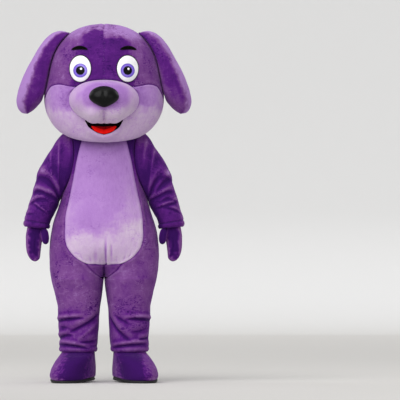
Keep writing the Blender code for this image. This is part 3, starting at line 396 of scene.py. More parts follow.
# Creases on the suit. side is the half they are on, with 0 for both. around runs from
# -1 at the front middle through 0 at the side seam to 1 at the back middle. bow lifts the middle, and
# roll is how much of the depth the cloth above the crease bulges. A negative depth is a ridge.
SUIT_CREASES = table(
    ("side", "around_a", "z_a", "around_b", "z_b", "bow", "width", "depth", "roll"),
    (-1, 0.06, 0.328, -0.61, 0.352, 0.004, 0.007, 0.012, 0.92),
    (-1, -0.97, 0.388, -0.26, 0.262, -0.007, 0.012, 0.012, 0.52),
    (-1, -0.92, 0.338, -0.46, 0.226, 0.004, 0.009, -0.007, 0.0),
    (-1, -0.42, 0.257, 0.1, 0.226, 0.01, 0.007, 0.01, 0.8),
    (-1, -0.9, 0.226, -0.44, 0.214, 0.0, 0.011, 0.008, 0.46),
    (-1, 0.02, 0.207, -0.74, 0.178, 0.01, 0.007, 0.01, 1.0),
    (-1, -0.1, 0.3, -0.4, 0.292, 0.004, 0.01, 0.005, 0.57),
    (1, 0.05, 0.33, -0.59, 0.343, 0.009, 0.007, 0.012, 0.92),
    (1, -0.9, 0.366, -0.46, 0.224, -0.012, 0.011, 0.012, 0.52),
    (1, -0.78, 0.368, -0.46, 0.312, 0.0, 0.01, 0.006, 0.57),
    (1, -0.51, 0.276, -0.12, 0.303, -0.009, 0.013, 0.005, 0.46),
    (1, -0.36, 0.232, -0.06, 0.245, 0.0, 0.007, 0.008, 0.69),
    (1, -0.92, 0.181, -0.1, 0.209, 0.009, 0.007, 0.01, 1.0),
    (0, 0.86, 0.586, 0.38, 0.611, -0.01, 0.01, 0.016, 1.0),
    (0, 0.18, 0.626, 0.51, 0.514, 0.004, 0.011, 0.009, 0.57),
    (1, 0.02, 0.497, 0.68, 0.474, -0.04, 0.011, 0.011, 0.69),
    (-1, 0.06, 0.488, 0.62, 0.468, -0.034, 0.011, 0.011, 0.69),
    (0, 0.78, 0.476, 0.4, 0.407, 0.0, 0.01, 0.009, 0.69),
    (-1, 0.64, 0.302, 0.14, 0.346, 0.006, 0.011, 0.007, 0.57),
    (1, 0.56, 0.348, 0.04, 0.331, 0.006, 0.01, 0.007, 0.57),
    (0, 0.82, 0.272, 0.32, 0.186, -0.006, 0.01, 0.007, 0.57),
    (0, 0.08, 0.214, 0.76, 0.19, 0.006, 0.007, 0.008, 0.92),
    (1, -0.22, 1.0, -0.34, 0.84, 0.006, 0.018, 0.005, 0.4),
    (-1, -0.2, 1.01, -0.3, 0.87, -0.004, 0.02, 0.005, 0.4),
    (1, 0.42, 1.16, 0.34, 0.93, 0.006, 0.02, 0.006, 0.4),
    (-1, 0.44, 1.13, 0.36, 0.9, -0.006, 0.018, 0.006, 0.4),
    (1, 0.1, 0.98, 0.4, 0.86, 0.004, 0.016, 0.005, 0.5),
    (-1, 0.08, 0.97, 0.34, 0.88, 0.006, 0.016, 0.005, 0.5),
    (0, 0.6, 0.8, 0.2, 0.74, -0.01, 0.022, 0.005, 0.4),
)
SUIT_ARC = 0.3  # metres of cloth from a middle to the side seam

# Creases on the sleeve, in turns (0 outside, 90 front, 180 inside) and ring numbers
SLEEVE_CREASES = table(
    ("side", "turn_a", "ring_a", "turn_b", "ring_b", "bow", "width", "depth", "roll"),
    (-1, -45, 4.8, 178, 0.2, -0.04, 0.012, 0.01, 1.0),
    (-1, -20, 5.7, 150, 1.9, -0.042, 0.009, 0.0075, 1.0),
    (-1, -10, 7.0, 118, 4.2, -0.006, 0.007, 0.0055, 1.0),
    (-1, 35, 6.25, 125, 6.4, 0.004, 0.006, 0.0045, 0.9),
    (-1, -30, 7.7, 70, 7.1, -0.004, 0.006, 0.004, 0.8),
    (-1, 20, 1.1, 112, 1.3, 0.002, 0.01, -0.0055, 0.0),
    (-1, -5, 1.9, 92, 2.5, 0.0, 0.009, -0.0045, 0.0),
    (1, 25, 4.35, 165, 1.0, 0.006, 0.012, 0.0095, 1.0),
    (1, -35, 4.95, 120, 3.1, 0.0, 0.01, 0.0085, 1.0),
    (1, 20, 5.35, 158, 1.5, -0.036, 0.008, 0.0065, 1.0),
    (1, 5, 6.1, 140, 4.8, -0.026, 0.007, 0.0055, 1.0),
    (1, 22, 6.25, 105, 4.75, 0.0, 0.006, 0.004, 0.8),
    (1, 10, 7.7, 104, 5.8, 0.0, 0.006, 0.0045, 0.9),
    (1, 20, 1.0, 98, 0.4, 0.0, 0.009, -0.005, 0.0),
    (1, 2, 1.9, 110, 1.45, 0.0, 0.009, -0.0055, 0.0),
    (-1, 195, 3.1, 325, 4.6, 0.01, 0.011, 0.0085, 0.9),
    (1, 200, 3.4, 335, 4.9, 0.012, 0.011, 0.0085, 0.9),
    (0, 215, 5.0, 335, 5.6, 0.008, 0.009, 0.0075, 0.9),
    (0, 225, 6.2, 345, 6.4, 0.006, 0.008, 0.006, 0.9),
    (-1, 210, 7.1, 320, 7.25, 0.003, 0.007, 0.005, 0.8),
    (1, 240, 7.3, 350, 7.1, 0.003, 0.007, 0.005, 0.8),
    (0, 240, 1.0, 330, 1.6, 0.0, 0.01, -0.0045, 0.0),
)
SLEEVE_RING_RUN, SLEEVE_GIRTH_RADIUS = 0.055, 0.085  # metres of cloth to a ring and to a radian

# Short gathers where the belly panel is eased into its seam
BELLY_GATHERS = table(
    ("x", "z", "lean", "run", "depth"),
    (0.108, 0.668, 0.3, 0.04, 0.003),
    (0.133, 0.676, 0.45, 0.03, 0.0026),
    (0.066, 0.656, 0.15, 0.034, 0.0022),
    (-0.072, 0.658, -0.2, 0.036, 0.0024),
    (-0.118, 0.671, -0.35, 0.03, 0.0022),
    (-0.02, 0.652, -0.05, 0.026, 0.0016),
)

# Pleats low in the middle of the belly: each fades in over a run below its top
BELLY_PLEATS = table(
    ("x", "width", "height", "top", "run", "low"),
    (0.009, 0.0055, -0.0075, 0.815, 0.1, 0.0),
    (0.024, 0.008, 0.003, 0.79, 0.1, 0.0),
    (0.04, 0.005, -0.0045, 0.765, 0.04, 0.665),
    (-0.045, 0.012, -0.003, 0.74, 0.06, 0.0),
)
PLEAT_END = 0.035

# How pale the suit is, from 0 to 1, at heights in front and behind: partly the pile as hands have brushed it,
# partly painted light. The drop high in front is painted shade under the head, and the back is painted
# paler to stand in for light falling on it.
FRONT_NAP_AND_SHADING = np.array(
    ((0.1, 0.3, 0.42, 0.62, 0.85, 1.05, 1.22, 1.36), (0.42, 0.4, 0.55, 0.57, 0.54, 0.5, 0.14, -0.3))
)
BACK_NAP_AND_LIGHT = np.array(((0.1, 0.35, 0.6, 0.72, 0.92, 1.2, 1.38), (0.58, 0.54, 0.5, 0.66, 0.52, 0.36, 0.2)))

# Curves and surfaces


def smooth(x, xs, ys):
    """A monotone cubic through the points (xs, ys), with xs rising."""
    step = np.diff(xs)
    rise = np.diff(ys) / step
    slope = np.empty(len(xs))
    slope[0], slope[-1] = rise[0], rise[-1]
    before, after = rise[:-1], rise[1:]
    weight_a, weight_b = 2 * step[1:] + step[:-1], step[1:] + 2 * step[:-1]
    turning = before * after <= 0
    safe = np.where(turning, 1.0, before), np.where(turning, 1.0, after)
    mean = (weight_a + weight_b) / (weight_a / safe[0] + weight_b / safe[1])
    slope[1:-1] = np.where(turning, 0.0, mean)
    x = np.clip(x, xs[0], xs[-1])
    i = np.clip(np.searchsorted(xs, x, side="right") - 1, 0, len(xs) - 2)
    s = (x - xs[i]) / step[i]
    ends = (2 * s**3 - 3 * s**2 + 1) * ys[i] + (3 * s**2 - 2 * s**3) * ys[i + 1]
    tangents = (s**3 - 2 * s**2 + s) * slope[i] + (s**3 - s**2) * slope[i + 1]
    return ends + tangents * step[i]


def along_rows(rows, column, s):
    """A column of a table at row number s, between rows too."""
    return smooth(s, np.arange(len(rows[column]), dtype=float), rows[column])


def signed_power(x, power):
    return np.sign(x) * np.abs(x) ** power


def points(x, y, z):
    return np.stack(np.broadcast_arrays(x, y, z), -1).astype(float)


def turns_round(count, start=0):
    """Even turns round a ring, in radians."""
    return 2 * np.pi * (np.arange(count) + start) / count


def unit(vectors):
    return vectors / np.maximum(np.linalg.norm(vectors, axis=-1, keepdims=True), 1e-12)


def ease(x, low, high):
    """0 below low, 1 above high and smooth between."""
    s = np.clip((x - low) / (high - low), 0, 1)
    return s * s * (3 - 2 * s)


def bump_at(x, middle, width):
    return np.exp(-(((x - middle) / width) ** 2))


def normals(surface, a, b, step_a, step_b):
    """Unit normals of surface(a, b) by differences."""
    along_a = surface(a + step_a, b) - surface(a - step_a, b)
    along_b = surface(a, b + step_b) - surface(a, b - step_b)
    return unit(np.cross(along_a, along_b))


def lumps(spots, size, seed):
    """Smooth random heights from about -1 to 1, with lumps of the given size."""
    rng = np.random.default_rng(seed)
    shuffle, slopes = rng.permutation(256), unit(rng.normal(size=(256, 3)))
    at = spots / size
    cell = np.floor(at).astype(int)
    part = at - cell
    weight = part**3 * (part * (part * 6 - 15) + 10)
    height = np.zeros(spots.shape[:-1])
    for corner in itertools.product((0, 1), repeat=3):
        i, j, k = np.moveaxis((cell + corner) & 255, -1, 0)
        slope = slopes[shuffle[(shuffle[(shuffle[i] + j) & 255] + k) & 255]]
        share = np.prod(np.where(corner, weight, 1 - weight), -1)
        height = height + share * np.sum(slope * (part - corner), -1)
    return height * 1.6


def cloth_lumps(spots, much=1.0):
    """The unevenness of stuffed plush: soft swells, then smaller and smaller ones."""
    cloth = bpy.context.scene.costume_cloth
    swell = lumps(spots, 0.12, 3) + 0.42 * lumps(spots, 0.043, 5) + 0.14 * lumps(spots, 0.014, 7)
    return much * cloth.swell * swell


# The form of a crease: the width of its floor, how much steeper its upper side is than its lower one,
# and the height, place and width of the roll above it. The last two are in widths of the crease.
CREASE_FLOOR, CREASE_UPPER, CREASE_LOWER = 0.0015, 0.7, 1.4
ROLL_HEIGHT, ROLL_PLACE, ROLL_WIDTH = 0.7, 2.2, 1.6


def creases(u, v, rows, side):
    """How far the listed creases move the cloth out. u and v are metres across and up the cloth."""
    cloth = bpy.context.scene.costume_cloth
    height = np.zeros(np.broadcast(u, v).shape)
    for values in zip(*rows.values()):
        row = dict(zip(rows, values))
        if row["side"] not in (0, side):
            continue
        run = row["u_b"] - row["u_a"], row["v_b"] - row["v_a"]
        length = math.hypot(*run)
        du, dv = u - row["u_a"], v - row["v_a"]
        along = (du * run[0] + dv * run[1]) / length**2
        across = math.copysign(1.0, run[0]) * (dv * run[0] - du * run[1]) / length
        across = across - row["bow"] * 4 * along * (1 - along)
        width = row["width"]
        fade = np.clip(1 - np.abs(2 * along - 1) ** 2.5, 0, 1)
        away = np.hypot(across, CREASE_FLOOR) / np.where(across > 0, CREASE_UPPER, CREASE_LOWER)
        roll = ROLL_HEIGHT * row["roll"] * bump_at(across, ROLL_PLACE * width, ROLL_WIDTH * width)
        height = height + cloth.crease * row["depth"] * fade * (roll - np.exp(-away / width))
    return height


# The suit


def suit_base(side, face, t, z):
    """The suit's outside: face is -1 in front and 1 behind, and t runs out to the side seam."""
    outer = smooth(z, SUIT["z"], SUIT["side"])
    inner = smooth(z, SUIT["z"], SUIT["inseam"])
    depth = smooth(z, SUIT["z"], SUIT["front" if face < 0 else "back"])
    rise = np.clip((z - CROTCH_Z) / BLEND_HEIGHT, 0, 1)
    torso = np.sin(np.pi / 2 * rise) ** 0.8
    leg_x = inner + (outer - inner) * (1 - np.cos(np.pi * t)) / 2
    leg_y = depth * signed_power(np.sin(np.pi * t), LEG_ROUND)
    torso_x = outer * np.sin(np.pi / 2 * t)
    torso_y = depth * signed_power(np.cos(np.pi / 2 * t), TORSO_ROUND)
    x = (1 - torso) * leg_x + torso * torso_x
    y = (1 - torso) * leg_y + torso * torso_y
    return points(side * x, face * y, z)


def suit_creases(side, face, t, z):
    around = face * (1 - t)
    rows = dict(SUIT_CREASES)
    for end in "ab":
        rows[f"u_{end}"] = rows[f"around_{end}"] * SUIT_ARC
        rows[f"v_{end}"] = rows[f"z_{end}"]
    return creases(around * SUIT_ARC, z, rows, side) * (1 - np.abs(around) ** 10)


def suit_surface(side, face, t, z):
    """The suit's plain outside, its outward normals and its relief, apart from the seams."""
    t, z = np.broadcast_arrays(np.asarray(t, float), np.asarray(z, float))
    base = partial(suit_base, side, face)
    spots = base(t, z)
    outward = -side * face * normals(base, t, z, 0.01, 0.002)
    on_middle = (t < 1e-6) & (z > CROTCH_Z + 1e-6)
    outward = np.where(on_middle[..., None], unit(outward * (1e-9, 1, 1)), outward)
    height = np.hypot((z - ARMHOLE_Z) / ARMHOLE_HALF_HEIGHT, spots[..., 1] / ARMHOLE_HALF_DEPTH)
    near_arm = np.where(np.abs(spots[..., 0]) > 0.1, ease(height, 1.0, 1.35), 1.0)
    near_crotch = ease(np.hypot(spots[..., 0] / 0.08, (z - CROTCH_Z) / 0.06), 0.3, 1.2)
    relief = suit_creases(side, face, t, z) + cloth_lumps(spots) * near_crotch
    return spots, outward, relief * near_arm


def t_at_x(face, x, z):
    """Where the half width x falls on the suit at height z, by halving."""
    low, high = np.zeros_like(z), np.ones_like(z)
    for _ in range(40):
        middle = (low + high) / 2
        short = suit_base(1, face, middle, z)[..., 0] < x
        low, high = np.where(short, middle, low), np.where(short, high, middle)
    return (low + high) / 2


def t_at_armhole(face, z):
    """The armhole's edge on the suit at height z, or the side seam above and below it."""
    height = np.clip(np.abs(z - ARMHOLE_Z) / ARMHOLE_HALF_HEIGHT, 0, 1)
    half_depth = ARMHOLE_HALF_DEPTH * np.sqrt(1 - height**2)
    depth = smooth(z, SUIT["z"], SUIT["front" if face < 0 else "back"])
    return 2 / np.pi * np.arccos((half_depth / depth) ** (1 / TORSO_ROUND))


def armhole_point(turn):
    z = ARMHOLE_Z + ARMHOLE_HALF_HEIGHT * np.cos(turn)
    front = suit_base(1, -1, t_at_armhole(-1, z), z)
    back = suit_base(1, 1, t_at_armhole(1, z), z)
    return np.where((np.sin(turn) > 0)[..., None], front, back)


def suit_rows(low):
    """Heights of the cloth's rows from low to the neck, closer together round the armhole's ends."""
    step = bpy.context.scene.costume_cloth.step
    half_turns = np.linspace(0, np.pi, ARMHOLE_STEPS // 2 + 1)
    armhole = ARMHOLE_Z - ARMHOLE_HALF_HEIGHT * np.cos(half_turns)
    stops = [low] + [z for z in (CROTCH_Z, BELLY_BOTTOM_Z, armhole[0]) if z > low + 1e-6]
    runs = [np.linspace(a, b, math.ceil((b - a) / step) + 1)[:-1] for a, b in zip(stops, stops[1:])]
    return np.concatenate([*runs, armhole, np.linspace(armhole[-1], NECK_Z, 8)[1:]])


# The sleeve


def sleeve_ring(side, ring, turn):
    outer_x, outer_z = (along_rows(SLEEVE, c, ring) for c in ("outer_x", "outer_z"))
    inner_x, inner_z = (along_rows(SLEEVE, c, ring) for c in ("inner_x", "inner_z"))
    swing, lean = np.cos(turn), np.sin(turn)
    x = (outer_x + inner_x) / 2 + (outer_x - inner_x) / 2 * swing
    z = (outer_z + inner_z) / 2 + (outer_z - inner_z) / 2 * swing
    y = along_rows(SLEEVE, "y", ring) - along_rows(SLEEVE, "depth", ring) * lean
    edge = armhole_point(turn)
    top, bottom = SLEEVE["outer_x"][0], SLEEVE["inner_x"][0]
    flat = points(
        (top + bottom) / 2 + (top - bottom) / 2 * swing,
        -ARMHOLE_HALF_DEPTH * lean,
        ARMHOLE_Z + ARMHOLE_HALF_HEIGHT * swing,
    )
    near = np.clip(1 - ring, 0, None)[..., None] ** 2
    return (points(x, y, z) + near * (edge - flat)) * (side, 1, 1)


def sleeve_creases(side, ring, turn):
    rows = dict(SLEEVE_CREASES)
    for end in "ab":
        rows[f"u_{end}"] = np.radians(rows[f"turn_{end}"]) * SLEEVE_GIRTH_RADIUS
        rows[f"v_{end}"] = -rows[f"ring_{end}"] * SLEEVE_RING_RUN
    turn = turn % (2 * np.pi)
    runs = [(turn - whole_turn) * SLEEVE_GIRTH_RADIUS for whole_turn in (0, 2 * np.pi)]
    return sum(creases(run, -ring * SLEEVE_RING_RUN, rows, side) for run in runs)


# The head


def crown_mirrored(column):
    """A head column by ring number, carried one ring past the crown so that the top is round."""
    values = HEAD[column]
    past = values[-2] if column == "z" else -values[-2]
    return np.append(values, past)


HEAD_RINGS = {column: crown_mirrored(column) for column in HEAD}
CROWN = len(HEAD["z"]) - 1


def head_column(column, ring):
    return smooth(ring, np.arange(CROWN + 2.0), HEAD_RINGS[column])


FINE_RINGS = np.linspace(0, CROWN, 2400)
FINE_RING_Z = head_column("z", FINE_RINGS)


def ring_at_z(z):
    return np.interp(z, FINE_RING_Z, FINE_RINGS)


def head_base(angle, ring):
    """The head's outside on the wearer's left: angle 0 is the front and 180 degrees the back."""
    height = head_column("z", ring)
    facing = np.cos(angle)
    depth = np.where(facing > 0, head_column("front", ring), head_column("back", ring))
    tilt = RIM_TILT * np.clip((TILT_TOP_Z - height) / TILT_SPAN, 0, 1) ** 1.3
    x, y = head_column("side", ring) * np.sin(angle), -depth * facing
    return points(x, y, height + tilt * y)


def muzzle_share(angle, ring):
    return np.hypot(angle / MUZZLE_ANGLE, (head_column("z", ring) - MUZZLE_Z) / MUZZLE_HALF_Z)


def muzzle_reach(share, x):
    """How far the muzzle stands in front of the head."""
    dome = np.clip(1 - np.clip(share, 0, 1) ** 2.5, 0, 1) ** 0.5
    philtrum = 0.006 * bump_at(x, 0, 0.012) * np.clip(1 - share, 0, 1) ** 0.5
    return MUZZLE_REACH * dome - philtrum


def muzzle_base(turn, share):
    angle = MUZZLE_ANGLE * share * np.cos(turn)
    ring = ring_at_z(MUZZLE_Z + MUZZLE_HALF_Z * share * np.sin(turn))
    base = head_base(angle, ring)
    return base - points(0.0, muzzle_reach(share, base[..., 0]), 0.0)


def face_y(x, z):
    """The y of the head's front, muzzle included, at a place seen from the front."""
    ring, angle = ring_at_z(z), 0.0
    for _ in range(12):
        angle = np.arcsin(np.clip(x / head_column("side", ring), -1, 1))
        ring = ring_at_z(head_column("z", ring) + z - head_base(angle, ring)[..., 2])
    base = head_base(angle, ring)
    return base[..., 1] - muzzle_reach(muzzle_share(angle, ring), x)


def side_x(y, z):
    """The x of the head's side at a place seen from the side."""
    ring, angle = ring_at_z(z), np.pi / 2
    for _ in range(12):
        depth = np.where(y < 0, head_column("front", ring), head_column("back", ring))
        angle = np.arccos(np.clip(-y / np.maximum(depth, 1e-6), -1, 1))
        ring = ring_at_z(head_column("z", ring) + z - head_base(angle, ring)[..., 2])
    return head_base(angle, ring)[..., 0]


def skull_edge_ring(angles):
    """The ring number of the purple panels' lower edge at each angle."""
    over_muzzle = np.sqrt(np.clip(1 - (angles / MUZZLE_ANGLE) ** 2, 0, 1))
    arc = MUZZLE_Z + MUZZLE_HALF_Z * over_muzzle
    mask = smooth(np.degrees(angles), MASK["angle"], MASK["z"])
    return ring_at_z(np.where(angles < MASK_JOIN - 1e-6, arc, mask))


CHEEK = {
    "turn": np.linspace(math.acos(MASK_JOIN / MUZZLE_ANGLE) - 0.03, -np.pi / 2, 17),
    "angle": np.append(MASK_ANGLES + np.eye(1, 9)[0] * 0.02, CHIN_ANGLES),
    "lip": np.array([0.1] * 9 + [0.09, 0.08, 0.06, 0.04, 0.175, 0.262, 0.345, 0.385]),
}
CHEEK_TOP_COLUMNS = 8  # the cheek's columns along the mask's edge, and after them along the chin
MOUTH_FIRST, LINING_ROWS, LINING_FRONT = 12, 25, 0.004
MOUTH_DENT, LIP_ROLL = 0.02, 0.024


def cheek_base(column, share):
    """The lilac lower face's outside: columns go round the muzzle, share from it to the outer edge."""
    turn, angle_out, lip = (along_rows(CHEEK, c, column) for c in ("turn", "angle", "lip"))
    ring_out = np.where(column <= CHEEK_TOP_COLUMNS, skull_edge_ring(angle_out), 0.0)
    angle_in = MUZZLE_ANGLE * np.cos(turn)
    ring_in = ring_at_z(MUZZLE_Z + MUZZLE_HALF_Z * np.sin(turn))
    base = head_base(angle_in + (angle_out - angle_in) * share, ring_in + (ring_out - ring_in) * share)
    deep = np.clip((lip - 0.06) / 0.26, 0, 1)
    dent = MOUTH_DENT * np.sin(np.pi * np.clip(share / lip, 0, 1)) ** 1.5
    roll = LIP_ROLL * bump_at(share, lip + 0.1, 0.16)
    return base + points(0.0, deep * (dent - roll * (share > 0)), 0.0)


# Making meshes


def numbered(rows, columns, around):
    """The numbers of a grid of points, with the first column once more at the end if it goes around."""
    numbers = np.arange(rows * columns).reshape(rows, columns)
    return np.concatenate([numbers, numbers[:, :1]], 1) if around else numbers


def quads(numbers):
    """The faces of a grid of point numbers."""
    corners = numbers[:-1, :-1], numbers[:-1, 1:], numbers[1:, 1:], numbers[1:, :-1]
    return np.stack([corner.ravel() for corner in corners], -1)


def shell(name, outer, inner, material, around=False, values=None):
    """A closed wall between two grids of points. values are numbers for each point of a grid."""
    rows, columns = outer.shape[:2]
    count = rows * columns
    numbers = numbered(rows, columns, around)
    outside = quads(numbers)
    faces = [outside, outside[:, ::-1] + count]
    borders = [numbers[0], numbers[-1, ::-1]]
    if not around:
        borders += [numbers[::-1, 0], numbers[:, -1]]
    for border in borders:
        faces.append(np.stack([border[1:], border[:-1], border[:-1] + count, border[1:] + count], -1))
    spots = np.concatenate([outer.reshape(-1, 3), inner.reshape(-1, 3)])
    grids = {key: np.broadcast_to(value, (rows, columns)).ravel() for key, value in (values or {}).items()}
    doubled = {key: np.tile(grid, 2) for key, grid in grids.items()}
    return add_mesh(name, spots, np.concatenate(faces), material, doubled)


def solid(name, rings, material, start=None, values=None):
    """A closed form through rings of points, with a point at each end."""
    rows, columns = rings.shape[:2]
    numbers = numbered(rows, columns, True)
    faces = quads(numbers).tolist()
    first, last = rows * columns, rows * columns + 1
    for c in range(columns):
        faces.append([first, int(numbers[0, c + 1]), int(numbers[0, c])])
        faces.append([last, int(numbers[-1, c]), int(numbers[-1, c + 1])])
    start = rings[0].mean(0) if start is None else start
    spots = np.concatenate([rings.reshape(-1, 3), [start, rings[-1].mean(0)]])
    full = {}
    for key, value in (values or {}).items():
        grid = np.broadcast_to(value, (rows, columns))
        full[key] = np.append(grid.ravel(), (grid[0].mean(), grid[-1].mean()))
    return add_mesh(name, spots, faces, material, full)


def add_object(name, data):
    made = bpy.data.objects.new(name, data)
    bpy.context.scene.collection.objects.link(made)
    return made


def add_mesh(name, spots, faces, material, values):
    """A smooth mesh object with its faces outwards and its doubles merged, from heights above the floor."""
    mesh = bpy.data.meshes.new(name)
    mesh.from_pydata(spots - (0, 0, HOLD_HEIGHT), [], faces)
    for key, value in values.items():
        mesh.attributes.new(key, "FLOAT", "POINT").data.foreach_set("value", value.astype(np.float32))
    work = bmesh.new()
    work.from_mesh(mesh)
    bmesh.ops.remove_doubles(work, verts=work.verts, dist=1e-5)
    if work.calc_volume(signed=True) < 0:
        bmesh.ops.reverse_faces(work, faces=work.faces)
    work.to_mesh(mesh)
    work.free()
    mesh.shade_smooth()
    mesh.set_sharp_from_angle(angle=math.radians(60))
    mesh.materials.append(material)
    return add_object(name, mesh)


def dress(piece, slot, *nodes):
    """The piece rides on the costume and stands for its nodes."""
    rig.ride(piece, "root")
    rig.slot(piece, slot)
    if nodes:
        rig.replaces(piece, *nodes)


def run_along(grid, axis):
    """How far along its row or column each point lies."""
    step = np.linalg.norm(np.diff(grid, axis=axis), axis=-1)
    start = np.zeros_like(np.take(step, [0], axis))
    return np.concatenate([start, np.cumsum(step, axis)], axis)


def seam_form(distance, puff=1.0):
    """The cloth's dip at a seam and the soft rise beside it."""
    depth = bpy.context.scene.costume_cloth.seam
    return depth * (0.55 * puff * bump_at(distance, 0.017, 0.011) - bump_at(distance, 0, 0.006))


def edge_distance(grid, edge):
    """How far each point of a grid lies from one of its edges, along its row or column."""
    axis = 0 if "row" in edge else 1
    run = run_along(grid, axis)
    if edge.startswith("first"):
        return run
    whole = run[-1:] if axis == 0 else run[:, -1:]
    return whole - run


def seams_relief(grid, edges, puff=1.0):
    relief = np.zeros(grid.shape[:2])
    for edge in edges:
        relief = relief + seam_form(edge_distance(grid, edge), puff)
    return relief


def blurred(values, rounds, around=False):
    """A grid of numbers averaged with its neighbours, several times over."""
    for _ in range(rounds):
        for axis in (0, 1):
            mode = "wrap" if around and axis == 1 else "edge"
            wide = np.pad(values, [(1, 1) if a == axis else (0, 0) for a in (0, 1)], mode=mode)
            before, after = (wide[:-2], wide[2:]) if axis == 0 else (wide[:, :-2], wide[:, 2:])
            values = values / 2 + before / 4 + after / 4
    return values


def relief_shading_of(height, around=False):
    """How far the cloth stands above or below what is round it, used as painted shade in its hollows and painted
    highlights on its crests: valleys count more than ridges.
    """
    stands = (height - blurred(height, 14, around)) / 0.004
    return np.clip(np.where(stands < 0, 1.6, 0.5) * stands, -2.2, 1.0)


def cut_size(grid, around=False):
    """Width, length and area of a grid of cloth laid flat."""
    loop = np.concatenate([grid, grid[:, :1]], 1) if around else grid
    width, length = run_along(loop, 1)[:, -1].max(), run_along(loop, 0)[-1].max()
    across, up = loop[1:, 1:] - loop[:-1, :-1], loop[1:, :-1] - loop[:-1, 1:]
    area = np.linalg.norm(np.cross(across, up), axis=-1).sum() / 2
    area = float(np.clip(area, 0.301 * width * length, width * length))
    return {"flat": (float(width), float(length)), "area": area}


SEAM_HALF = 0.0002
MIDDLE_SEAM_HALF = 0.00002  # so close that no light comes through the head from behind
EDGES = {  # the border of a grid and the points beside it
    "first_row": (np.s_[0], np.s_[1]),
    "last_row": (np.s_[-1], np.s_[-2]),
    "first_column": (np.s_[:, 0], np.s_[:, 1]),
    "last_column": (np.s_[:, -1], np.s_[:, -2]),
}


def trimmed(grid, edges):
    """The grid with the named edges drawn back by half a seam's gap."""
    grid = grid.copy()
    for border, inside in map(EDGES.get, edges):
        grid[border] = grid[border] + unit(grid[inside] - grid[border]) * SEAM_HALF
    return grid


def side_name(stem, side):
    """The name of a piece on one side. A piece across the middle has side 0."""
    return stem + {1: "_left", -1: "_right", 0: ""}[side]


def slot_of(material):
    return "plush_lilac" if "lilac" in material.name else "plush_purple"


def cloth_panel(stem, side, material, surface, seams, nap, wall, held, rests_on, around=False, puff=1.0):
    """A sewn panel. surface holds its plain points, its outward normals and its relief."""
    base, outward, relief = surface
    relief = relief + seams_relief(base, seams, puff)
    outer = base + outward * relief[..., None]
    layers = [trimmed(grid, seams) for grid in (outer, outer - outward * wall)]
    values = {"nap": nap, "ridge": relief_shading_of(relief, around)}
    piece = shell(side_name(f"plush_{stem}", side), *layers, material, around, values)
    dress(piece, slot_of(material), side_name(stem, side))
    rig.sheet(piece, held=held, rests_on=rests_on, **cut_size(base, around))


# Materials


def node(tree, kind, inputs=None, give=0, stops=(), **settings):
    """Adds a node with its settings, its links and a ramp's stops, and gives one of its outputs."""
    made = tree.nodes.new(kind)
    for name, value in settings.items():
        setattr(made, name, value)
    for name, value in (inputs or {}).items():
        if isinstance(value, bpy.types.NodeSocket):
            tree.links.new(value, made.inputs[name])
        else:
            made.inputs[name].default_value = value
    for index, (position, colour) in enumerate(stops):
        elements = made.color_ramp.elements
        stop = elements[index] if index < 2 else elements.new(position)
        stop.position, stop.color = position, (*colour, 1)
    return made.outputs[give] if made.outputs else made


def made_once(build):
    """Makes a material of a given name only once: build fills in its tree and gives its surface."""

    def make(name, *values, **settings):
        material = bpy.data.materials.get(name)
        if material is None:
            material = bpy.data.materials.new(name)
            material.use_nodes = True
            tree = material.node_tree
            tree.nodes.clear()
            node(tree, "ShaderNodeOutputMaterial", {"Surface": build(tree, *values, **settings)})
        return material

    return make


def total(tree, *terms):
    """The sum of (value, factor, offset) terms: each value has its offset added, then is scaled."""
    value = 0.0
    for socket, factor, offset in terms:
        moved = node(tree, "ShaderNodeMath", {0: socket, 1: offset}, operation="ADD")
        value = node(tree, "ShaderNodeMath", {0: moved, 1: factor, 2: value}, operation="MULTIPLY_ADD")
    return value


PILE = 0.0045  # metres between tufts of pile, drawn twice as coarse as real so that it shows
BRUSH_STREAK = 0.016  # metres between the streaks that a hand leaves in the pile
BRUSH_PATCH = 0.09  # metres between patches that are brushed another way
CRUSH_MARK = 0.011  # metres between the dark marks where the pile is crushed
CRUMPLE = 0.05  # metres between the fine pale lines where the cloth has been folded

# Repeats to a metre of the other patterns. The fine ones are drawn coarser than real so that they show.
FELT_FIBRE = 420  # 2.4 mm from tangle to tangle of the fibres
FELT_CLOUD = 60  # 17 mm between clouds in the dye
ORANGE_PEEL = 260  # 3.8 mm between the dimples of the formed sheet
PLASTIC_SMEAR = 24  # 42 mm between faint smears
RUBBER_PEBBLE = 260  # 3.8 mm between pebbles
RUBBER_SCUFF = 40  # 25 mm between scuffs
THREAD_TWIST = 300  # a wave of this scale turns once in 1 mm
PAPER_CLOUD = 0.8
IRIS_RAYS = 9.0  # to a radian


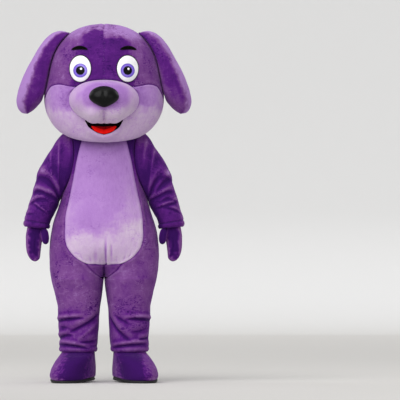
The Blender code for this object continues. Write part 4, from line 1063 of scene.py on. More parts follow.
@made_once
def plush(tree, stops, tint, ruffle=1.0, crumple=0.0):
    """Short-pile polyester plush, knitted, sheared and brushed: its pile turns pale where it lies
    towards the eye and deep where it stands, in patches with ragged edges, and its tips catch light.
    Its colour also carries painted light: painted shade in the hollows of folds and seams, painted
    highlights on their crests, and the painted shade and sheen that its paleness attribute holds."""
    place = node(tree, "ShaderNodeTexCoord", give="Object")
    drawn = node(tree, "ShaderNodeMapping", {"Vector": place, "Scale": (1, 1, 0.42)})
    wiped = node(tree, "ShaderNodeMapping", {"Vector": place, "Scale": (0.5, 0.5, 1.1)})
    # This attribute holds the brushed pile's paleness together with painted light and shade.
    nap = node(tree, "ShaderNodeAttribute", give="Fac", attribute_name="nap")
    ridge = node(tree, "ShaderNodeAttribute", give="Fac", attribute_name="ridge")
    patch = node(tree, "ShaderNodeTexNoise", {"Vector": place, "Scale": 1 / BRUSH_PATCH, "Detail": 3})
    brushed = {"Vector": drawn, "Scale": 1 / BRUSH_STREAK, "Detail": 5, "Roughness": 0.68, "Distortion": 0.6}
    streak = node(tree, "ShaderNodeTexNoise", brushed)
    tufts = {"Vector": place, "Scale": 1 / PILE, "Detail": 3, "Roughness": 0.7}
    fleck = node(tree, "ShaderNodeTexNoise", tufts)
    clump = node(tree, "ShaderNodeTexNoise", {"Vector": drawn, "Scale": 1 / (2.4 * PILE), "Detail": 2})
    crushed = {"Vector": wiped, "Scale": 1 / CRUSH_MARK, "Detail": 4, "Distortion": 1.8}
    mark = {"Value": node(tree, "ShaderNodeTexNoise", crushed), "From Min": 0.53, "From Max": 0.6}
    around = {"Vector": place, "Scale": 0.8 / BRUSH_PATCH, "Detail": 2, "Distortion": 0.5}
    where = {"Value": node(tree, "ShaderNodeTexNoise", around), "From Min": 0.53, "From Max": 0.62}
    both = {0: node(tree, "ShaderNodeMapRange", mark), 1: node(tree, "ShaderNodeMapRange", where)}
    marks = node(tree, "ShaderNodeMath", both, operation="MULTIPLY")
    folded = {"Vector": wiped, "Scale": 1 / CRUMPLE, "Detail": 6, "Distortion": 0.8}
    fold = node(tree, "ShaderNodeTexNoise", folded)
    off_fold = node(tree, "ShaderNodeMath", {0: fold, 1: 0.5}, operation="SUBTRACT")
    away = node(tree, "ShaderNodeMath", {0: off_fold}, operation="ABSOLUTE")
    lines = node(tree, "ShaderNodeMapRange", {"Value": away, "From Min": 0.02, "From Max": 0.0})
    # Painted light: the relief term darkens the hollows of folds and seams as painted shade and lightens their crests
    # as a painted highlight, and the first term brings in painted shade and sheen along with the pile's paleness.
    value = total(
        tree,
        (nap, 1.0, 0.0),
        (ridge, 0.33, 0.0),
        (patch, 0.43 * ruffle, -0.5),
        (streak, 0.32 * ruffle, -0.5),
        (fleck, 0.32, -0.5),
        (marks, -0.4 * ruffle, 0.0),
        (lines, crumple, 0.0),
    )
    pile = {"Height": total(tree, (fleck, 0.6, 0.0), (clump, 1.0, 0.0)), "Strength": 0.8, "Distance": 0.0035}
    look = {
        "Base Color": node(tree, "ShaderNodeValToRGB", {"Fac": value}, stops=stops),
        "Normal": node(tree, "ShaderNodeBump", pile),
        "Roughness": 0.92,
        "Specular IOR Level": 0.08,
        "Sheen Weight": 0.42,
        "Sheen Roughness": 0.26,
        "Sheen Tint": (*tint, 1),
    }
    return node(tree, "ShaderNodeBsdfPrincipled", look)


def purple_plush():
    look = bpy.context.scene.costume_colours
    colours = look.deep_purple, look.purple, look.brushed_purple, look.pale_purple
    stops = list(zip((0.0, 0.34, 0.62, 0.95), colours))
    return plush("sheared_plush_purple", stops, linear("#B48CD0"), crumple=0.11)


def dark_plush():
    look = bpy.context.scene.costume_colours
    colours = linear("#2A0A4C"), look.deep_purple, look.purple, look.brushed_purple
    stops = list(zip((0.0, 0.4, 0.75, 1.0), colours))
    return plush("sheared_plush_deep_purple", stops, linear("#A078C4"))


def lilac_plush():
    look = bpy.context.scene.costume_colours
    colours = look.deep_lilac, look.lilac, look.brushed_lilac, look.pale_lilac
    stops = list(zip((0.0, 0.38, 0.66, 0.95), colours))
    return plush("sheared_plush_lilac", stops, linear("#E8D4F2"), 0.62)


@made_once
def felt(tree, dark, light):
    """Pressed wool felt, cut to shape: matt, with short fibres lying every way and a soft edge."""
    place = node(tree, "ShaderNodeTexCoord", give="Object")
    tangled = {"Vector": place, "Scale": FELT_FIBRE, "Detail": 4, "Distortion": 2.5}
    fibre = node(tree, "ShaderNodeTexNoise", tangled)
    cloud = node(tree, "ShaderNodeTexNoise", {"Vector": place, "Scale": FELT_CLOUD, "Detail": 2})
    nap = node(tree, "ShaderNodeAttribute", give="Fac", attribute_name="nap")
    # The first term is the piece's paleness attribute, which on the tongue is painted shade.
    value = total(tree, (nap, 1.0, 0.0), (fibre, 0.5, -0.5), (cloud, 0.4, -0.5))
    look = {
        "Base Color": node(tree, "ShaderNodeValToRGB", {"Fac": value}, stops=((0.0, dark), (1.0, light))),
        "Normal": node(tree, "ShaderNodeBump", {"Height": fibre, "Strength": 0.4, "Distance": 0.0008}),
        "Roughness": 0.9,
        "Specular IOR Level": 0.03,
    }
    return node(tree, "ShaderNodeBsdfPrincipled", look)


def black_felt():
    return felt("pressed_felt_black", linear("#040304"), linear("#0B090D"))


@made_once
def moulded(tree, colour, roughness, coat=0.0, grain=0.0004, specular=0.5):
    """Vacuum-formed plastic with a faint orange peel that softens its highlights."""
    place = node(tree, "ShaderNodeTexCoord", give="Object")
    peel = node(tree, "ShaderNodeTexNoise", {"Vector": place, "Scale": ORANGE_PEEL, "Detail": 2})
    smear = node(tree, "ShaderNodeTexNoise", {"Vector": place, "Scale": PLASTIC_SMEAR, "Detail": 3})
    limits = {"Value": smear, "To Min": roughness * 0.8, "To Max": roughness * 1.25}
    shades = (0.3, tuple(0.9 * c for c in colour)), (0.7, colour)
    look = {
        "Base Color": node(tree, "ShaderNodeValToRGB", {"Fac": smear}, stops=shades),
        "Normal": node(tree, "ShaderNodeBump", {"Height": peel, "Strength": 0.25, "Distance": grain}),
        "Roughness": node(tree, "ShaderNodeMapRange", limits),
        "Specular IOR Level": specular,
        "Coat Weight": coat,
        "Coat Roughness": 0.12,
    }
    return node(tree, "ShaderNodeBsdfPrincipled", look)


@made_once
def printed_vinyl(tree):
    """Screen-printed vinyl disc: violet with fine rays, darker at its rim and round the pupil."""
    spoke = node(tree, "ShaderNodeAttribute", give="Fac", attribute_name="spoke")
    share = node(tree, "ShaderNodeAttribute", give="Fac", attribute_name="share")
    given = {"W": spoke, "Scale": IRIS_RAYS, "Detail": 3}
    rays = node(tree, "ShaderNodeTexNoise", given, noise_dimensions="1D")
    value = total(tree, (share, 0.9, 0.0), (rays, 0.35, -0.5))
    stops = zip((0.3, 0.52, 0.76, 0.86), map(linear, ("#4A34A8", "#7C63D6", "#7A5CD2", "#5234B0")))
    colour = node(tree, "ShaderNodeValToRGB", {"Fac": value}, stops=stops)
    look = {"Base Color": colour, "Roughness": 0.3, "Coat Weight": 0.5}
    return node(tree, "ShaderNodeBsdfPrincipled", look)


@made_once
def sheet_rubber(tree):
    """Moulded EVA-rubber sheet, die-cut: near black, dull, with a fine pebble and scuffed edges."""
    place = node(tree, "ShaderNodeTexCoord", give="Object")
    pebbles = {"Vector": place, "Scale": RUBBER_PEBBLE}
    pebble = node(tree, "ShaderNodeTexVoronoi", pebbles, give="Distance")
    dust = node(tree, "ShaderNodeTexNoise", {"Vector": place, "Scale": RUBBER_SCUFF, "Detail": 5})
    stops = zip((0.4, 0.72, 0.85), map(linear, ("#070608", "#121014", "#242026")))
    look = {
        "Base Color": node(tree, "ShaderNodeValToRGB", {"Fac": dust}, stops=stops),
        "Normal": node(tree, "ShaderNodeBump", {"Height": pebble, "Strength": 0.35, "Distance": 0.001}),
        "Roughness": 0.7,
    }
    return node(tree, "ShaderNodeBsdfPrincipled", look)


# The suit's pieces


def suit_nap_and_shading(spots):
    """How pale the suit is: brushed pile, with painted shade under the head in front and painted light on the back."""
    y, z = spots[..., 1], spots[..., 2]
    return np.where(y < 0, smooth(z, *FRONT_NAP_AND_SHADING), smooth(z, *BACK_NAP_AND_LIGHT))


def make_suit():
    cloth = bpy.context.scene.costume_cloth
    z = suit_rows(HEM_Z)
    seam_x = smooth(z, BELLY_SEAM["z"], BELLY_SEAM["x"])
    belly_edge = np.where(z > CROTCH_Z + 1e-9, t_at_x(-1, seam_x, z), 0.0)
    hem = 0.0025 * bump_at(z, HEM_Z + 0.012, 0.01) - 0.0018 * bump_at(z, HEM_Z + HEM_STITCHES, 0.005)
    share = np.linspace(0, 1, cloth.columns)
    seams = ("first_column", "last_column")
    for stem, face, first, below in (
        ("suit_front", -1, belly_edge, "plush_belly_panel"),
        ("suit_back", 1, 0 * z, "plush_suit_front_left"),
    ):
        t = first[:, None] + (t_at_armhole(face, z) - first)[:, None] * share
        for side in SIDES:
            spots, outward, relief = suit_surface(side, face, t, z[:, None])
            surface, nap = (spots, outward, relief + hem[:, None]), suit_nap_and_shading(spots)
            rests = [below, side_name("sleeve", side)]
            cloth_panel(stem, side, purple_plush(), surface, seams, nap, cloth.wall, "hung", rests)


def across_middle(z, columns, lowered):
    """Plain points, normals and relief of a panel that crosses the front's middle."""
    share = np.linspace(0, 1, columns // 2 + 1)
    edge = t_at_x(-1, smooth(z, BELLY_SEAM["z"], BELLY_SEAM["x"]), z)
    t = edge[:, None] * share
    height = z[:, None] - lowered[:, None] * (1 - share**2)
    right, left = (suit_surface(side, -1, t, height) for side in (-1, 1))
    return [np.concatenate([r[:, :0:-1], l], 1) for r, l in zip(right, left)]


def belly_creases(spots):
    """The pleats low in the middle of the belly, and short gathers at its lower seam."""
    x, z = spots[..., 0], spots[..., 2]
    relief = np.zeros(x.shape)
    for middle, width, height, top, run, low in zip(*BELLY_PLEATS.values()):
        relief += height * bump_at(x, middle, width) * ease(top - z, 0, run) * ease(z, low, low + PLEAT_END)
    for place, low, lean, run, depth in zip(*BELLY_GATHERS.values()):
        middle = place + lean * (z - low)
        relief -= depth * bump_at(x, middle, 0.0045) * bump_at((z - low) / run, 0.25, 0.55)
    return relief


def belly_nap_and_shade(spots):
    """Lilac, with a ragged edge to the pale, worn pile low down, and painted shade high up under the head."""
    x, z = spots[..., 0], spots[..., 2]
    border = 0.815 + 0.2 * x + 0.06 * lumps(spots, 0.08, 11) + 0.035 * lumps(spots, 0.016, 12)
    nap = 0.34 + 0.5 * ease(border - z, -0.095, 0.065)
    nap = nap + 0.22 * ease(x, 0.06, 0.16) * bump_at(z, 0.95, 0.14)
    nap = nap + 0.16 * ease(-x, 0.11, 0.19) * bump_at(z, 0.92, 0.16)
    # Painted shade under the head
    return nap - 0.34 * ease(z, 1.22, 1.37)


def make_belly():
    cloth = bpy.context.scene.costume_cloth
    rests = ["plush_suit_front_left", "plush_suit_front_right"]
    z = suit_rows(BELLY_BOTTOM_Z)
    lowered = BELLY_SAG * np.clip((0.8 - z) / (0.8 - BELLY_BOTTOM_Z), 0, 1)
    spots, outward, relief = across_middle(z, 2 * (cloth.columns // 2 + 8), lowered)
    surface = spots, outward, relief * 0.8 + belly_creases(spots)
    seams = ("first_row", "first_column", "last_column")
    nap = belly_nap_and_shade(spots)
    cloth_panel("belly_panel", 0, lilac_plush(), surface, seams, nap, cloth.wall, "hung", rests)
    z = np.linspace(CROTCH_Z + 0.011, BELLY_BOTTOM_Z, 16)
    spots, outward, relief = across_middle(z, 40, BELLY_SAG * (z >= BELLY_BOTTOM_Z))
    surface = spots, outward, relief - 0.004 * bump_at(spots[..., 0], 0.0, 0.006)
    seams = ("last_row", "first_column", "last_column")
    cloth_panel("crotch_gusset", 0, purple_plush(), surface, seams, 0.43, cloth.wall, "hung", rests)


def sleeve_nap_and_shading(ring, turn, relief):
    """Deep purple, paler at the top; paler outside as painted sheen and behind as painted light, palest along the
    ridges of the folds as a painted highlight, and darker inside against the body and at the armpit as painted shade.
    """
    lean, swing = np.sin(turn), np.cos(turn)
    # Painted light and shade: sheen outside, light behind, highlights along the folds' ridges, shade inside against
    # the body and at the armpit.
    nap = 0.16 + 0.2 * ease(swing, 0.3, 1.0) + 0.34 * ease(-lean, 0.0, 0.6)
    nap = nap + 0.1 * ease(3.0 - ring, 0, 3.0) * ease(swing, -0.2, 0.6) - 0.3 * ease(-swing, 0.55, 1.0)
    nap = nap + 0.2 * ease(swing, 0.7, 1.0) * ease(ring, 4.0, 6.0)
    nap = nap + 0.55 * np.clip(1.3 * relief_shading_of(relief, True), 0, 1) ** 1.5
    return nap - 0.22 * ease(1.6 - ring, 0, 1.4) * ease(-swing, -0.5, 0.3)


def make_sleeves():
    cloth = bpy.context.scene.costume_cloth
    rings = np.concatenate([(0.012, 0.04, 0.08), np.linspace(0.14, 8.4, 88), np.linspace(8.5, 11.0, 26)])
    ring, turn = np.broadcast_arrays(rings[:, None], turns_round(ARMHOLE_STEPS))
    for side in SIDES:
        base = partial(sleeve_ring, side)
        spots = base(ring, turn)
        outward = -side * normals(base, np.maximum(ring, 0.02), turn, 0.02, 0.02)
        body = ease(ring, 0.0, 0.7) * ease(10.8 - ring, 0, 1.0)
        folds = sleeve_creases(side, ring, turn) * (1 - 0.6 * ease(np.cos(turn), 0.8, 1.0))
        relief = (folds + cloth_lumps(spots)) * body
        relief = relief + 0.0035 * ease(ring, 0.0, 0.25) * ease(1.2 - ring, 0, 0.9)
        relief = relief + 0.0022 * bump_at(ring, 9.1, 0.45) - CUFF_GROOVE * bump_at(ring, CUFF_RING, 0.16)
        nap = sleeve_nap_and_shading(ring, turn, relief)
        rests = [side_name("plush_suit_front", side), side_name("plush_suit_back", side)]
        surface = spots, outward, relief
        cloth_panel("sleeve", side, purple_plush(), surface, (), nap, cloth.wall, "hung", rests, True)


def back_y(x, z):
    """The y of the suit's plain back at a place seen from behind."""
    x, z = np.broadcast_arrays(np.abs(np.asarray(x, float)), np.asarray(z, float))
    return suit_base(1, 1, t_at_x(1, x, z), z)[..., 1]


TAIL_SINK = 0.002  # how far the tail's root is sunk into the back panels


def tube(spine, rows, turns, across=None):
    """The middle, the directions of the rings and the radii of a round form along a table's line."""
    middle = np.stack([along_rows(spine, name, rows) for name in "xyz"], -1)
    run = unit(np.gradient(middle, axis=0))
    across = unit(np.cross(run, (0.0, 1.0, 0.0))) if across is None else np.broadcast_to(across, run.shape)
    up = np.cross(run, across)
    ring = np.cos(turns)[:, None] * across[:, None] + np.sin(turns)[:, None] * up[:, None]
    return middle, ring, along_rows(spine, "radius", rows)[:, None]


def make_tail():
    """The stuffed tail, with its root cut to the back panels and a seam down its outside and inside."""
    rows, turns = np.linspace(0, len(TAIL["z"]) - 1, 110), turns_round(72)
    middle, ring, radius = tube(TAIL, rows, turns, (1.0, 0.0, 0.0))
    spots = middle[:, None] + ring * radius[..., None]
    body = ease(rows, 0.2, 1.5)[:, None] * ease(radius, 0.004, 0.03)
    relief = cloth_lumps(spots, 0.6) * body
    for away in (np.abs(turns - np.pi), np.minimum(turns, 2 * np.pi - turns)):
        relief = relief - 0.0022 * bump_at(away * radius, 0, 0.006) * body
    rings = spots + ring * relief[..., None]
    root = rings[0]
    root[:, 1] = back_y(root[:, 0], root[:, 2]) - TAIL_SINK
    inside = middle[0] + (root - middle[0]) * 0.5
    inside[:, 1] = back_y(inside[:, 0], inside[:, 2]) - TAIL_SINK
    start = np.array((0.0, float(back_y(0.0, TAIL["z"][0])) - TAIL_SINK, TAIL["z"][0]))
    # Painted sheen: paler at the tail's sides, and paler further from the root
    nap = 0.16 + 0.22 * ease(np.abs(np.cos(turns)), 0.6, 1.0) + 0.12 * ease(rows[:, None], 1.0, 3.0)
    values = {"nap": np.concatenate([nap[:1], nap]), "ridge": np.concatenate([relief[:1], relief]) / 0.004}
    piece = solid("plush_tail", np.concatenate([[inside], rings]), purple_plush(), start, values)
    dress(piece, "plush_purple", "tail")
    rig.padded(piece, fill=0.8)


# The head's pieces


def skull_nap_and_sheen(spots, angle):
    """How pale the head is: deep over the brow and pale at the crown and sides, partly brushed pile and partly painted
    sheen, with painted light on the wearer's left of the crown.
    """
    x, z = spots[..., 0], spots[..., 2]
    turned = np.degrees(angle)
    ragged = 9 * lumps(spots, 0.06, 21) + 5 * lumps(spots, 0.02, 22)
    top = np.where(x < 0, 1.912, 1.868) + 0.022 * lumps(spots, 0.05, 23) + 0.01 * lumps(spots, 0.015, 24)
    deep = (1 - ease(turned + ragged, 24, 40)) * (1 - ease(z, top - 0.012, top + 0.022))
    # Paler up to the crown, partly painted sheen, and painted light on the wearer's left of the crown
    front = 0.55 + 0.3 * ease(z, 1.84, 1.92) + 0.16 * ease(x, 0.03, 0.12) * ease(z, 1.8, 1.88)
    front = front + (0.23 - front) * deep
    low = 1.53 + 0.035 * lumps(spots, 0.08, 25) + 0.012 * lumps(spots, 0.02, 26)
    middle = (1 - ease(z, 1.8, 1.9)) * ease(z, low - 0.02, low + 0.05)
    back = 0.64 - 0.38 * middle * ease(turned + ragged, 118, 140)
    return np.where(turned < 100, front, back)


def on_side(grid, side):
    grid = grid.copy()
    grid[..., 0] = np.maximum(grid[..., 0], MIDDLE_SEAM_HALF)
    return grid * (side, 1, 1)


def head_panel(stem, side, material, base, outward, seams, nap, rests_on, middle=None, lump=0.35, form=0.0):
    """A panel of the head on one side, glued on foam, with the middle seam where asked."""
    cloth = bpy.context.scene.costume_cloth
    here = base * (side, 1, 1)
    relief = seams_relief(base, seams) + cloth_lumps(here, lump)
    if middle:
        relief = relief + middle(base) * seam_form(base[..., 0])
    outer = base + outward * (relief + form)[..., None]
    layers = [on_side(trimmed(grid, seams), side) for grid in (outer, outer - outward * cloth.foam)]
    values = {"nap": nap(here), "ridge": relief_shading_of(relief)}
    piece = shell(side_name(f"plush_{stem}", side), *layers, material, values=values)
    dress(piece, slot_of(material), side_name(stem, side))
    rests_on = [side_name(f"plush_{other}", side) for other in rests_on]
    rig.sheet(piece, held="stretched", rests_on=rests_on, **cut_size(base))


def crown_seam(base):
    """How much of the middle seam shows on the head: in full at the crown and behind."""
    return np.maximum(0.2, np.maximum(ease(base[..., 1], 0, 0.05), ease(base[..., 2], 1.9, 1.94)))


def make_skull():
    segments = ((0, MASK_JOIN, 20), (MASK_JOIN, MASK_ANGLES[-1], 54), (MASK_ANGLES[-1], np.pi, 46))
    angles = np.concatenate([np.linspace(*segment)[min(i, 1) :] for i, segment in enumerate(segments)])
    low = skull_edge_ring(angles)
    ring = low + (CROWN - low) * np.linspace(0, 1, 92)[:, None] ** 0.92
    angle = angles + 0 * ring
    base = head_base(angle, ring)
    outward = normals(head_base, angle, np.minimum(ring, CROWN - 0.05), 0.01, 0.02)
    outward = np.where((ring > CROWN - 0.01)[..., None], (0.0, 0.0, 1.0), outward)
    nap = partial(skull_nap_and_sheen, angle=angle)
    for side in SIDES:
        head_panel("skull", side, purple_plush(), base, outward, ("first_row",), nap, ["cheek"], crown_seam)


def cheek_grid(columns, mouth, rest):
    """The cheek's plain points and outward normals."""
    column = np.linspace(0, len(CHEEK["turn"]) - 1.0, columns)
    lip = along_rows(CHEEK, "lip", column)
    inside = np.linspace(0, 1, mouth)[:, None] * lip
    outside = lip + np.linspace(0, 1, rest)[1:, None] ** 1.15 * (1 - lip)
    share = np.concatenate([inside, outside])
    column = column + 0 * share
    near = np.clip(column, 0.05, len(CHEEK["turn"]) - 1.0)
    outward = normals(cheek_base, near, np.clip(share, 0.015, 0.985), 0.04, 0.012)
    outward[:, -1] = unit(outward[:, -1] * (1e-9, 1, 1))
    return cheek_base(column, share), outward, column


def cheek_nap_and_shade(spots):
    """Lilac on the cheeks' tops, with a ragged edge to the pale, worn pile of the chin, and painted shade beside the
    muzzle.
    """
    z = spots[..., 2]
    border = 1.482 + 0.04 * lumps(spots, 0.09, 31) + 0.024 * lumps(spots, 0.026, 32)
    side = ease(np.abs(spots[..., 0]), 0.27, 0.32) * 0.18
    beside = np.hypot(spots[..., 0] / 0.195, (z - MUZZLE_Z) / MUZZLE_HALF_Z)
    # Painted shade beside the muzzle
    side = side - 0.26 * (1 - ease(beside, 1.0, 1.38)) * ease(z, 1.46, 1.52)
    return 0.39 + side + 0.38 * ease(border - z, -0.026, 0.026) + 0.1 * lumps(spots, 0.016, 33)


def make_cheeks():
    base, outward, _ = cheek_grid(129, 15, 46)
    seams, rests = ("first_row", "last_row"), ["skull", "muzzle"]
    for side in SIDES:
        head_panel("cheek", side, lilac_plush(), base, outward, seams, cheek_nap_and_shade, rests)


def muzzle_nap_and_sheen(spots):
    """Lilac round the nose, with a painted highlight towards the muzzle's edge, and paler on its underside."""
    x, z = spots[..., 0], spots[..., 2]
    rim = np.hypot(x / 0.185, (z - 1.552) / 0.098) + 0.1 * lumps(spots, 0.05, 41)
    under = 1.475 + 0.02 * lumps(spots, 0.045, 42)
    # Painted highlight towards the muzzle's edge
    return 0.22 + 0.5 * ease(rim, 0.58, 0.92) + 0.24 * ease(under - z, -0.03, 0.03)


def chin_seam(base):
    """How much of the middle seam shows on the muzzle: only below the nose."""
    return ease(1.5 - base[..., 2], 0, 0.03)


def make_muzzle():
    top = np.arccos(np.linspace(0, MASK_JOIN, 16)[:-1] / MUZZLE_ANGLE)
    turn = np.concatenate([top, np.linspace(CHEEK["turn"][0], CHEEK["turn"][-1], 84)])
    share = (1 - np.linspace(0, 1, 62)[:, None] ** 1.5) + 0 * turn
    turn = turn + 0 * share
    outward = -normals(muzzle_base, turn, np.clip(share, 0.05, 0.985), 0.02, 0.012)
    outward[-1] = (0.0, -1.0, 0.0)
    base = muzzle_base(turn, share)
    x, low = base[..., 0], ease(1.5 - base[..., 2], 0, 0.05)
    lobes = 0.018 * bump_at(x, 0.064, 0.042) - 0.014 * bump_at(x, 0, 0.02)
    form = {"middle": chin_seam, "lump": 0.2, "form": lobes * low * ease(1 - share, 0.0, 0.07)}
    for side in SIDES:
        head_panel(
            "muzzle", side, lilac_plush(), base, outward, ("first_row",), muzzle_nap_and_sheen, ["cheek"], **form
        )


def make_lining():
    """The mouth's black lining, laid on the cheeks' surface and mirrored at the middle."""
    base, outward, column = cheek_grid(129, LINING_ROWS, 3)
    keep = column[0] >= MOUTH_FIRST
    halves = [grid[:LINING_ROWS][:, keep] for grid in (base, outward)]
    base, outward = (np.concatenate([half * (-1, 1, 1), half[:, -2::-1]], 1) for half in halves)
    layers = [base + outward * height for height in (LINING_FRONT, 0.0015)]
    lining = shell("felt_mouth_lining", *layers, black_felt(), values={"nap": 0.4})
    dress(lining, "felt_black", "mouth_lining")
    rests = ["plush_cheek_left", "plush_cheek_right"]
    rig.sheet(lining, held="stretched", rests_on=rests, **cut_size(base))


def make_tongue():
    """The padded tongue, on the lining's front, with a shallow furrow down its middle."""
    across = np.linspace(-1, 1, 37)
    up = np.linspace(0, 1, 25)[:, None]
    wide = 2.5 * np.sqrt(1 - ((up - 0.58) / 0.64) ** 2)
    column = 16 - np.abs(across) * wide
    share = along_rows(CHEEK, "lip", column) * (0.22 + 0.76 * up)
    base = cheek_base(column, share)
    outward = normals(cheek_base, np.minimum(column, 15.95), np.clip(share, 0.015, 0.985), 0.04, 0.012)
    mirror = np.where(across < 0, -1.0, 1.0)[:, None] * (1, 0, 0) + (0, 1, 1)
    base, outward = base * mirror, unit(outward * mirror)
    outward[:, 18] = unit(outward[:, 18] * (0, 1, 1))
    round_edge = np.clip(1 - np.abs(across) ** 2.6, 0, 1) ** 0.5
    tip = np.clip(1 - np.abs(2 * up - 1) ** 3.0, 0, 1) ** 0.5
    thick = 0.0145 * round_edge * tip - 0.003 * bump_at(across, 0, 0.16) * tip
    front = base + outward * (0.0042 + np.maximum(thick, 0.0003))[..., None]
    # Painted shade: darker at the top of the tongue, under the muzzle
    shade = 0.15 + 0.85 * ease(up, 0.15, 0.6) + 0 * across
    red = felt("pressed_felt_red", linear("#5A0306"), linear("#F01512"))
    tongue = shell("felt_tongue", front, base + outward * 0.0036, red, values={"nap": shade})
    dress(tongue, "felt_red", "tongue")
    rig.padded(tongue, fill=0.5)


def ear_base(side, ring, turn):
    value = {name: along_rows(EAR, name, ring) for name in EAR}
    swing, lean = np.cos(turn), np.sin(turn)
    across = 0.5 + 0.5 * swing
    x = value["inner_x"] + (value["outer_x"] - value["inner_x"]) * across
    z = value["inner_z"] + (value["outer_z"] - value["inner_z"]) * across
    y = -value["depth"] * signed_power(lean, 0.9)
    on_head = side_x(y, z) + EAR_CLEAR
    inner_half = np.clip(-swing, 0, 1) ** 0.35 * value["lies"]
    x = np.maximum(x + (on_head - x) * inner_half, np.where(z > 1.5, on_head, 0.0))
    return points(side * x, y, z)


def ear_nap(side, ring, turn, ragged):
    """Pale along the ear's outer edge, with a deep band beside it, each with a ragged edge."""
    swing = np.cos(turn)
    brushed, core = (0.58, -0.08) if side < 0 else (0.4, -0.3 + 0.65 * ease(ring, 3, 10))
    nap = 0.56 + 0.14 * ease(2.5 - ring, 0, 2.0) + brushed * ease(swing + ragged, 0.0, 0.85)
    return nap + 0.08 * ease(ring, 8.5, 11.0) - 0.29 * bump_at(swing + 0.5 * ragged, core, 0.34)


def make_ears():
    rings = np.linspace(0, len(EAR["depth"]) - 1.0, 120)[:, None]
    ring, turn = np.broadcast_arrays(rings, turns_round(120))
    girth = along_rows(EAR, "depth", ring) * 1.1
    free = ease(np.cos(turn), -0.35, 0.1) * ease(ring, 0.3, 1.5) * ease(11.9 - ring, 0, 0.5)
    for side in SIDES:
        base = partial(ear_base, side)
        spots = base(ring, turn)
        outward = -side * normals(base, np.clip(ring, 0.1, rings.max() - 0.1), turn, 0.03, 0.02)
        relief = cloth_lumps(spots, 0.5) * free
        edge = np.abs((turn + np.pi) % (2 * np.pi) - np.pi) * girth
        relief = relief - 0.0018 * bump_at(edge, 0, 0.005) * free
        for line in (np.pi / 2 + 0.25, 3 * np.pi / 2 + 0.25):
            dart = bump_at(np.abs(turn - line) * girth, 0, 0.006)
            relief = relief - 0.0038 * dart * ease(ring, 9.4, 10.6) * free
        ragged = 0.22 * lumps(spots, 0.06, 51) + 0.16 * lumps(spots, 0.018, 52)
        values = {"nap": ear_nap(side, ring, turn, ragged), "ridge": relief_shading_of(relief, True)}
        outer = spots + outward * relief[..., None]
        piece = solid(side_name("plush_ear", side), outer, purple_plush(), values=values)
        dress(piece, "plush_purple", side_name("ear", side))
        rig.padded(piece, fill=0.7)


# The face: plain round eyes, short brows and a simple open mouth
EYE_X, EYE_Z, EYE_HALF_WIDTH, EYE_HALF_HEIGHT = 0.128, 1.7, 0.058, 0.072
EYE_EDGE, EYE_DOME = 0.003, 0.012
IRIS_RADIUS, PUPIL_RADIUS, INSERT_THICK = 0.038, 0.0235, 0.0016
IRIS_DROP = 0.01
BROW_X, BROW_Z, BROW_HALF_WIDTH, BROW_HALF_HEIGHT, BROW_BOW = 0.132, 1.815, 0.044, 0.0105, 0.01
NOSE_Z, NOSE_HALF_WIDTH, NOSE_HALF_HEIGHT, NOSE_DOME = 1.546, 0.081, 0.058, 0.038


def boss(
    name, material, middle, half, seat, height, edge, dome=0.5, point=0.0, rings=12, steps=72, bow=0.0
):
    """A piece that lies on the face: its back follows seat(x, z), its front domes out, its ends drop."""
    share = np.sin(np.linspace(np.pi / 2, 0, rings))[:, None]
    turn = turns_round(steps)
    narrow = 1 - point * np.clip(-np.sin(turn), 0, 1) ** 2
    x = middle[0] + half[0] * share * np.cos(turn) * narrow
    z = middle[1] + half[1] * share * np.sin(turn) - bow * (share * np.cos(turn)) ** 2
    back = seat(x, z)
    front = back - edge - height * (1 - share**2) ** dome
    values = {"nap": 0.4, "share": share + 0 * turn, "spoke": np.abs(turn - np.pi) + 0 * share}
    return shell(name, points(x, front, z), points(x, back + 0.002, z), material, True, values)


def white_y(side, layers, x, z):
    """The front of the domed eye white, or of the discs laid on it."""
    share = np.hypot((x - side * EYE_X) / EYE_HALF_WIDTH, (z - EYE_Z) / EYE_HALF_HEIGHT)
    dome = EYE_DOME * np.clip(1 - share**2, 0, 1) ** 0.5
    return face_y(x, z) - EYE_EDGE - dome - layers * INSERT_THICK


def eye_outline(side):
    """A thin black edge of vinyl round the eye, as a band that lies on the face."""
    width = bpy.context.scene.costume_face.eye_outline
    turn = turns_round(120)
    swell = 0.6 + 0.4 * ease(np.sin(turn), -0.4, 0.9)
    outer, inner = [], []
    for share in np.linspace(-1, 1, 7):
        reach = np.where(share > 0, share * width * swell, share * 0.002)
        x = side * EYE_X + (EYE_HALF_WIDTH + reach) * np.cos(turn)
        z = EYE_Z + (EYE_HALF_HEIGHT + reach) * np.sin(turn)
        rise = 0.0042 * np.sqrt(max(0.0, 1 - share**2)) + 0.0012
        outer.append(points(x, face_y(x, z) - rise, z))
        inner.append(points(x, face_y(x, z) + 0.002, z))
    black = moulded("vinyl_black", linear("#0C0810"), 0.45, specular=0.25)
    band = shell(side_name("eye_outline", side), np.array(outer), np.array(inner), black, True)
    dress(band, "felt_black")


